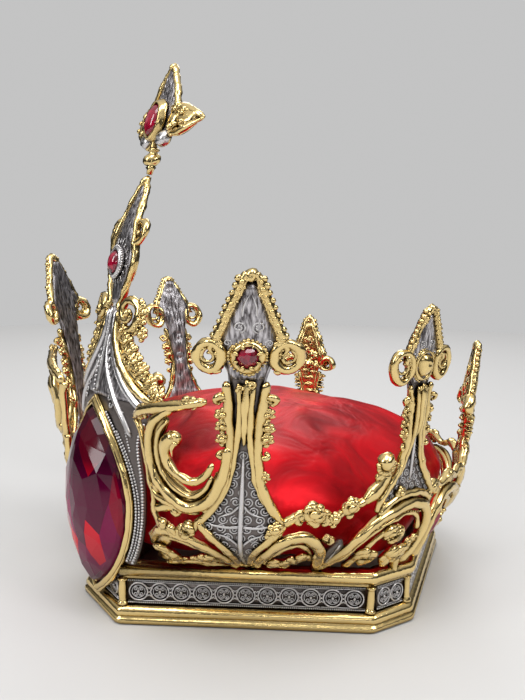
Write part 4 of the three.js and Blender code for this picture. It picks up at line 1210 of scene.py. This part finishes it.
def build_finial():
    width = width_of(FINIAL_WIDTH)
    n = Sculpt()
    profile = [[226, 1.5], [228.4, 1.9], [229.4, 2.8], [230, 2.2], [231, 3.5], [232.2, 4.2],
               [233.6, 4.4], [235, 4.0], [236.2, 2.9], [237, 1.9], [237.6, 2.6], [238.2, 2.9],
               [238.9, 2.2]]
    rings = []
    for z, r in profile:
        y = -float(along(FRONT_LINE, z)) - 1
        rings.append(np.array([[r * cos(t), y + r * sin(t), z] for t in circle(20)]))
    n.tube_mesh(rings, 0, closed=False)
    make("finial_neck_detail", n, as_is, [GOLD], "gold", ["finial_neck"])

    s = Sculpt()
    zs = np.linspace(243.6, 279, 22)
    s.sheet([[z, -width(z), width(z)] for z in zs], 1.3, across=8, crown=1.2, mat=0)
    for sign in (1, -1):
        for k in range(5):
            s.sweep([[sign * 1.0, 259 + 3.4 * k, 2.6], [sign * (5.6 - k), 262.5 + 3.2 * k, 2.2]],
                    [0.35, 0.2], sides=5)
    make("finial_leaf_detail", s, on_front, [ENGRAVED], "silver", ["finial_leaf"])

    g = Sculpt()
    edge = [[width(z) + 1.2, z, 1.0] for z in (257, 262, 267, 272, 277)] + [[0.7, 280.4, 1.0]]
    g.sweep(edge, [1.5, 1.8, 1.6, 1.5, 1.3], [2.0, 2.2, 2.0, 1.8])
    for q in spaced(edge, 2.4)[:-1]:
        g.beads([[q[0] + 0.5, q[1], q[2] + 1.0]], 0.95)
        g.comma([q[0] + 0.5, q[1] - 0.5, 1.1], 40, 2.0, 0.65, turn=1.1)
    g.sweep([[11, 257.6, 1.0], [17, 258.2, 1.4], [24, 256, 1.6], [33, 251.6, 1.0]], [1.6, 2.2, 2.0, 0.9],
            [2.0, 2.6, 2.4, 1.0])
    g.sweep([[10, 247, 1.0], [17, 245.6, 1.4], [24, 247.6, 1.6], [33, 251.6, 1.0]], [1.6, 2.2, 2.0, 0.9],
            [2.0, 2.6, 2.4, 1.0])
    g.add(BALL[0] * [7.0, 5.4, 4.0] + [23, 252, 0.8], BALL[1], 0)
    g.leaf_lump([14.5, 256.5, 2.0], 1, 3.2)
    g.leaf_lump([14.5, 247.5, 2.0], 1, 3.2)
    g.leaf_lump([21, 254.0, 2.8], 1, 2.6)
    g.leaf_lump([22, 249.8, 2.8], 1, 2.4)
    g.add(BALL[0] * [6.0, 5.6, 4.0] + [15, 252, 0.6], BALL[1], 0)
    g.sweep([[12.8, 257.6, 2.2], [17, 256, 2.6], [18.6, 252, 3.0], [16.5, 248.6, 2.8]], 0.8, sides=6)
    g.knob([8.6, 243.6], (5.4, 4.8, 1.6, -1.0, -1.8), 5.2, 4.6, shoulder=0.6, sides=20, mat=1)
    g.sweep([[3.4, 241.8, 1.0], [7.4, 240.2, 1.0], [12, 242, 1.0], [13, 245.6, 1.0]], [1.0, 1.4, 1.2, 0.8])
    g.mirrored()
    g.sweep([[0, 238.4, 1.2], [0, 241, 1.8], [0, 244.6, 2.2]], [2.2, 1.8, 2.4], [2.0, 1.8, 1.6])
    g.knob([0, 280.2], (3.6, 3.2, 1.2, -0.4, -0.8), 1.9, 2.0)
    g.sheet([[z, -width(z) - 1, width(z) + 1] for z in zs], 0.5, across=6, back=-0.7)
    make("finial_frame_detail", g, on_front, [GOLD, SILVER], "gold", ["finial_frame"])

    at = [0, FINIAL_Z]
    r = Sculpt()
    r.turned(at, [[0, 0, 9.0], [0, 0.3, 8.8], [0, 0.6, 8.2], [0, 0.85, 7.1], [0, 1, 5.4], [0, 0.98, 4.2],
                  [0, 0, 3.8]], 5.6, 8.2, sides=28)
    make("finial_stone_detail", r, on_front, [RUBY], "ruby", ["finial_stone"])
    c = Sculpt()
    c.turned(at, [[0.2, 1, 2.8], [2.4, 1, 2.8], [2.6, 1, 3.6], [2.0, 1, 4.2], [1.7, 1, 5.6],
                  [1.2, 1, 6.6], [0.4, 1, 6.9], [0.2, 1, 5.4]], 5.7, 8.3, sides=36)
    make("finial_bezel_detail", c, on_front, [GOLD], "gold", ["finial_bezel"])


# ---- cap ----
CAP_CLEARANCE = 7.5
CAP_SECTION = [[0, 77], [0.45, 75], [0.7, 66], [0.8, 51], [0.83, 36], [0.94, 35.5], [0.985, 42], [1, 50],
               [0.995, 60], [0.955, 69], [0.86, 78], [0.67, 87], [0.45, 93.4], [0.22, 97], [0, 98]]


def build_cap():
    sides = 96
    rings = []
    for share, up in CAP_SECTION:
        angle = circle(sides)
        level = np.full(sides, min(max(up, 50.0), SHOULDER_Z))
        radius = share * (body_radius(angle, level) - CAP_CLEARANCE)
        if up < 45:
            radius = np.minimum(radius, base_radius(angle, -14.4 if share < 0.9 else -8.5))
        if share > 0.4 and up > 60:
            folds = 1.1 * np.sin(7 * angle + 0.6) + 0.9 * np.sin(13 * angle + 2.1) + 0.6 * np.sin(3 * angle)
            radius = radius + folds * share
            up = (up + 2.2 * np.sin(5 * angle + 1.0) * (1 - share) * share * 4 * 0.6
                  + 1.3 * np.sin(9 * angle + 2.5) * share + 1.6 * np.sin(3 * angle + 0.4) * share)
        rings.append(np.c_[radius * np.sin(angle), -radius * np.cos(angle), np.full(sides, 1.0) * up])
    c = Sculpt()
    c.tube_mesh(rings[1:-1], 0, closed=False)
    cap = make("cap_cushion", c, as_is, [SATIN], "satin", ["cap"])
    remesh = cap.modifiers.new("even", "REMESH")
    remesh.mode, remesh.voxel_size, remesh.use_smooth_shade = "VOXEL", 0.0045, True
    bpy.context.view_layer.objects.active = cap
    bpy.ops.object.select_all(action="DESELECT")
    cap.select_set(True)
    bpy.ops.object.modifier_apply(modifier=remesh.name)
    before = np.array([v.co for v in cap.data.vertices])
    cloth = cap.modifiers.new("swell", "CLOTH")
    cloth.settings.use_pressure = True
    cloth.settings.uniform_pressure_force = 4.0
    cloth.settings.effector_weights.gravity = 0.0
    cloth.point_cache.frame_start, cloth.point_cache.frame_end = 1, 20
    for step in range(1, 21):
        bpy.context.scene.frame_set(step)
    shape = cap.evaluated_get(bpy.context.evaluated_depsgraph_get()).data
    after = np.array([v.co for v in shape.vertices])
    move = after - before
    size = np.linalg.norm(move, axis=1)[:, None]
    move *= np.minimum(1, 0.006 / np.maximum(size, 1e-9))
    cap.modifiers.remove(cloth)
    bpy.context.scene.frame_set(1)
    top = (before[:, 2] > 0.055)[:, None]
    cap.data.vertices.foreach_set("co", (before + np.where(top, move, move * 0.2)).ravel())
    cap.data.update()
    smooth = cap.modifiers.new("even_out", "SMOOTH")
    smooth.factor, smooth.iterations = 0.5, 4
    rounder = cap.modifiers.new("rounder", "SUBSURF")
    rounder.levels = rounder.render_levels = 1
    for modifier in (smooth, rounder):
        bpy.ops.object.modifier_apply(modifier=modifier.name)
    for p in cap.data.polygons:
        p.use_smooth = True


def build_lining():
    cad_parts["head_lining"].data.materials.clear()
    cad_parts["head_lining"].data.materials.append(LEATHER)
    s = Sculpt()
    line = ring_points(-9.25, 27.0)
    corners = np.vstack([line, line[:1]])
    length = np.r_[0, np.cumsum(np.linalg.norm(np.diff(corners, axis=0), axis=1))]
    for at in np.arange(0, length[-1], 4.0):
        ends = [[np.interp(at + d, length, corners[:, k]) for k in range(3)] for d in (0, 2.4)]
        s.sweep(ends, 0.4, sides=5, per=2)
    make("head_lining_stitches", s, as_is, [LEATHER], "leather", [])


build_base()
build_panels()
for point in POINTS:
    build_point(point)
build_gallery()
build_front_scrolls()
build_side_stones()
build_front_stone()
build_plaque()
build_spire()
build_spire_scrolls()
build_finial()
build_cap()
build_lining()

# ---- floor, light and camera ----
floor_mesh = bpy.data.meshes.new("floor")
bm = bmesh.new()
bmesh.ops.create_circle(bm, cap_ends=True, segments=96, radius=1.3)
bm.to_mesh(floor_mesh)
bm.free()
floor = bpy.data.objects.new("floor", floor_mesh)
bpy.context.scene.collection.objects.link(floor)
pale = principled("pale_floor", Roughness=0.7, Base_Color=(0.6, 0.595, 0.59, 1))
floor_mesh.materials.append(pale[0])
floor.location.z = -0.0002

world = bpy.data.worlds.new("studio")
bpy.context.scene.world = world
world.use_nodes = True
tree = world.node_tree
background = tree.nodes["Background"]
path = node(tree, "ShaderNodeLightPath")
shade = node(tree, "ShaderNodeMix", data_type="RGBA")
toward = node(tree, "ShaderNodeTexCoord")
split = node(tree, "ShaderNodeSeparateXYZ")
sky = ramp_of(tree, (0.0, grey(0.03)), (0.22, grey(0.06)), (0.5, grey(0.42)), (1.0, grey(0.85)))
link(toward, "Generated", split, "Vector")
link(split, "Z", sky, "Fac")
link(sky, "Color", shade, "A")
shade.inputs["B"].default_value = (0.55, 0.55, 0.55, 1)
link(path, "Is Camera Ray", shade, "Factor")
link(shade, "Result", background, "Color")


def area_light(name, azimuth, elevation, distance, size, power):
    data = bpy.data.lights.new(name, "AREA")
    data.shape, data.size, data.size_y, data.energy = "RECTANGLE", size[0], size[1], power
    light = bpy.data.objects.new(name, data)
    a, e = radians(azimuth), radians(elevation)
    target = Vector((0, 0, 0.12))
    light.location = target + Vector((sin(a) * cos(e), -cos(a) * cos(e), sin(e))) * distance
    light.rotation_euler = (light.location - target).to_track_quat("Z", "Y").to_euler()
    bpy.context.scene.collection.objects.link(light)


area_light("key", 105, 40, 1.1, (0.35, 0.6), 4.5)
area_light("left", 5, 30, 1.1, (0.2, 0.7), 3.5)
area_light("top", 60, 75, 1.0, (0.4, 0.4), 2.2)
area_light("back", 235, 35, 1.2, (0.5, 0.5), 2.5)
area_light("front_low", 56, 12, 1.3, (0.5, 0.12), 0.8)
sun_data = bpy.data.lights.new("overhead", "SUN")
sun_data.energy, sun_data.angle = 0.8, 0.5
sun = bpy.data.objects.new("overhead", sun_data)
sun.rotation_euler = (0.35, 0.25, 0)
bpy.context.scene.collection.objects.link(sun)

AZIMUTH, ELEVATION, ROLL, DISTANCE, TARGET_Z = 55.672, 8.438, 0.872, 440.0, 130.335
FOCAL_PX, SHIFT_PX = 755.085, 4.325
IMAGE_HEIGHT_PX, SENSOR = 700, 36.0
a, e, roll = radians(AZIMUTH), radians(ELEVATION), radians(ROLL)
back = Vector((sin(a) * cos(e), -cos(a) * cos(e), sin(e)))
right = Vector((cos(a), sin(a), 0))
up = back.cross(right)
camera_data = bpy.data.cameras.new("camera")
camera = bpy.data.objects.new("camera", camera_data)
turned_right = right * cos(roll) + up * sin(roll)
turned_up = up * cos(roll) - right * sin(roll)
rotation = Matrix((turned_right, turned_up, back)).transposed().to_4x4()
camera.matrix_world = Matrix.Translation((Vector((0, SHIFT, TARGET_Z)) + back * DISTANCE) * MM) @ rotation
camera_data.sensor_width, camera_data.sensor_fit = SENSOR, "AUTO"
camera_data.lens = FOCAL_PX / IMAGE_HEIGHT_PX * SENSOR
camera_data.shift_x = -SHIFT_PX / IMAGE_HEIGHT_PX
camera_data.clip_start = 0.01
bpy.context.scene.collection.objects.link(camera)
bpy.context.scene.camera = camera
bpy.context.scene.view_settings.view_transform = "Standard"
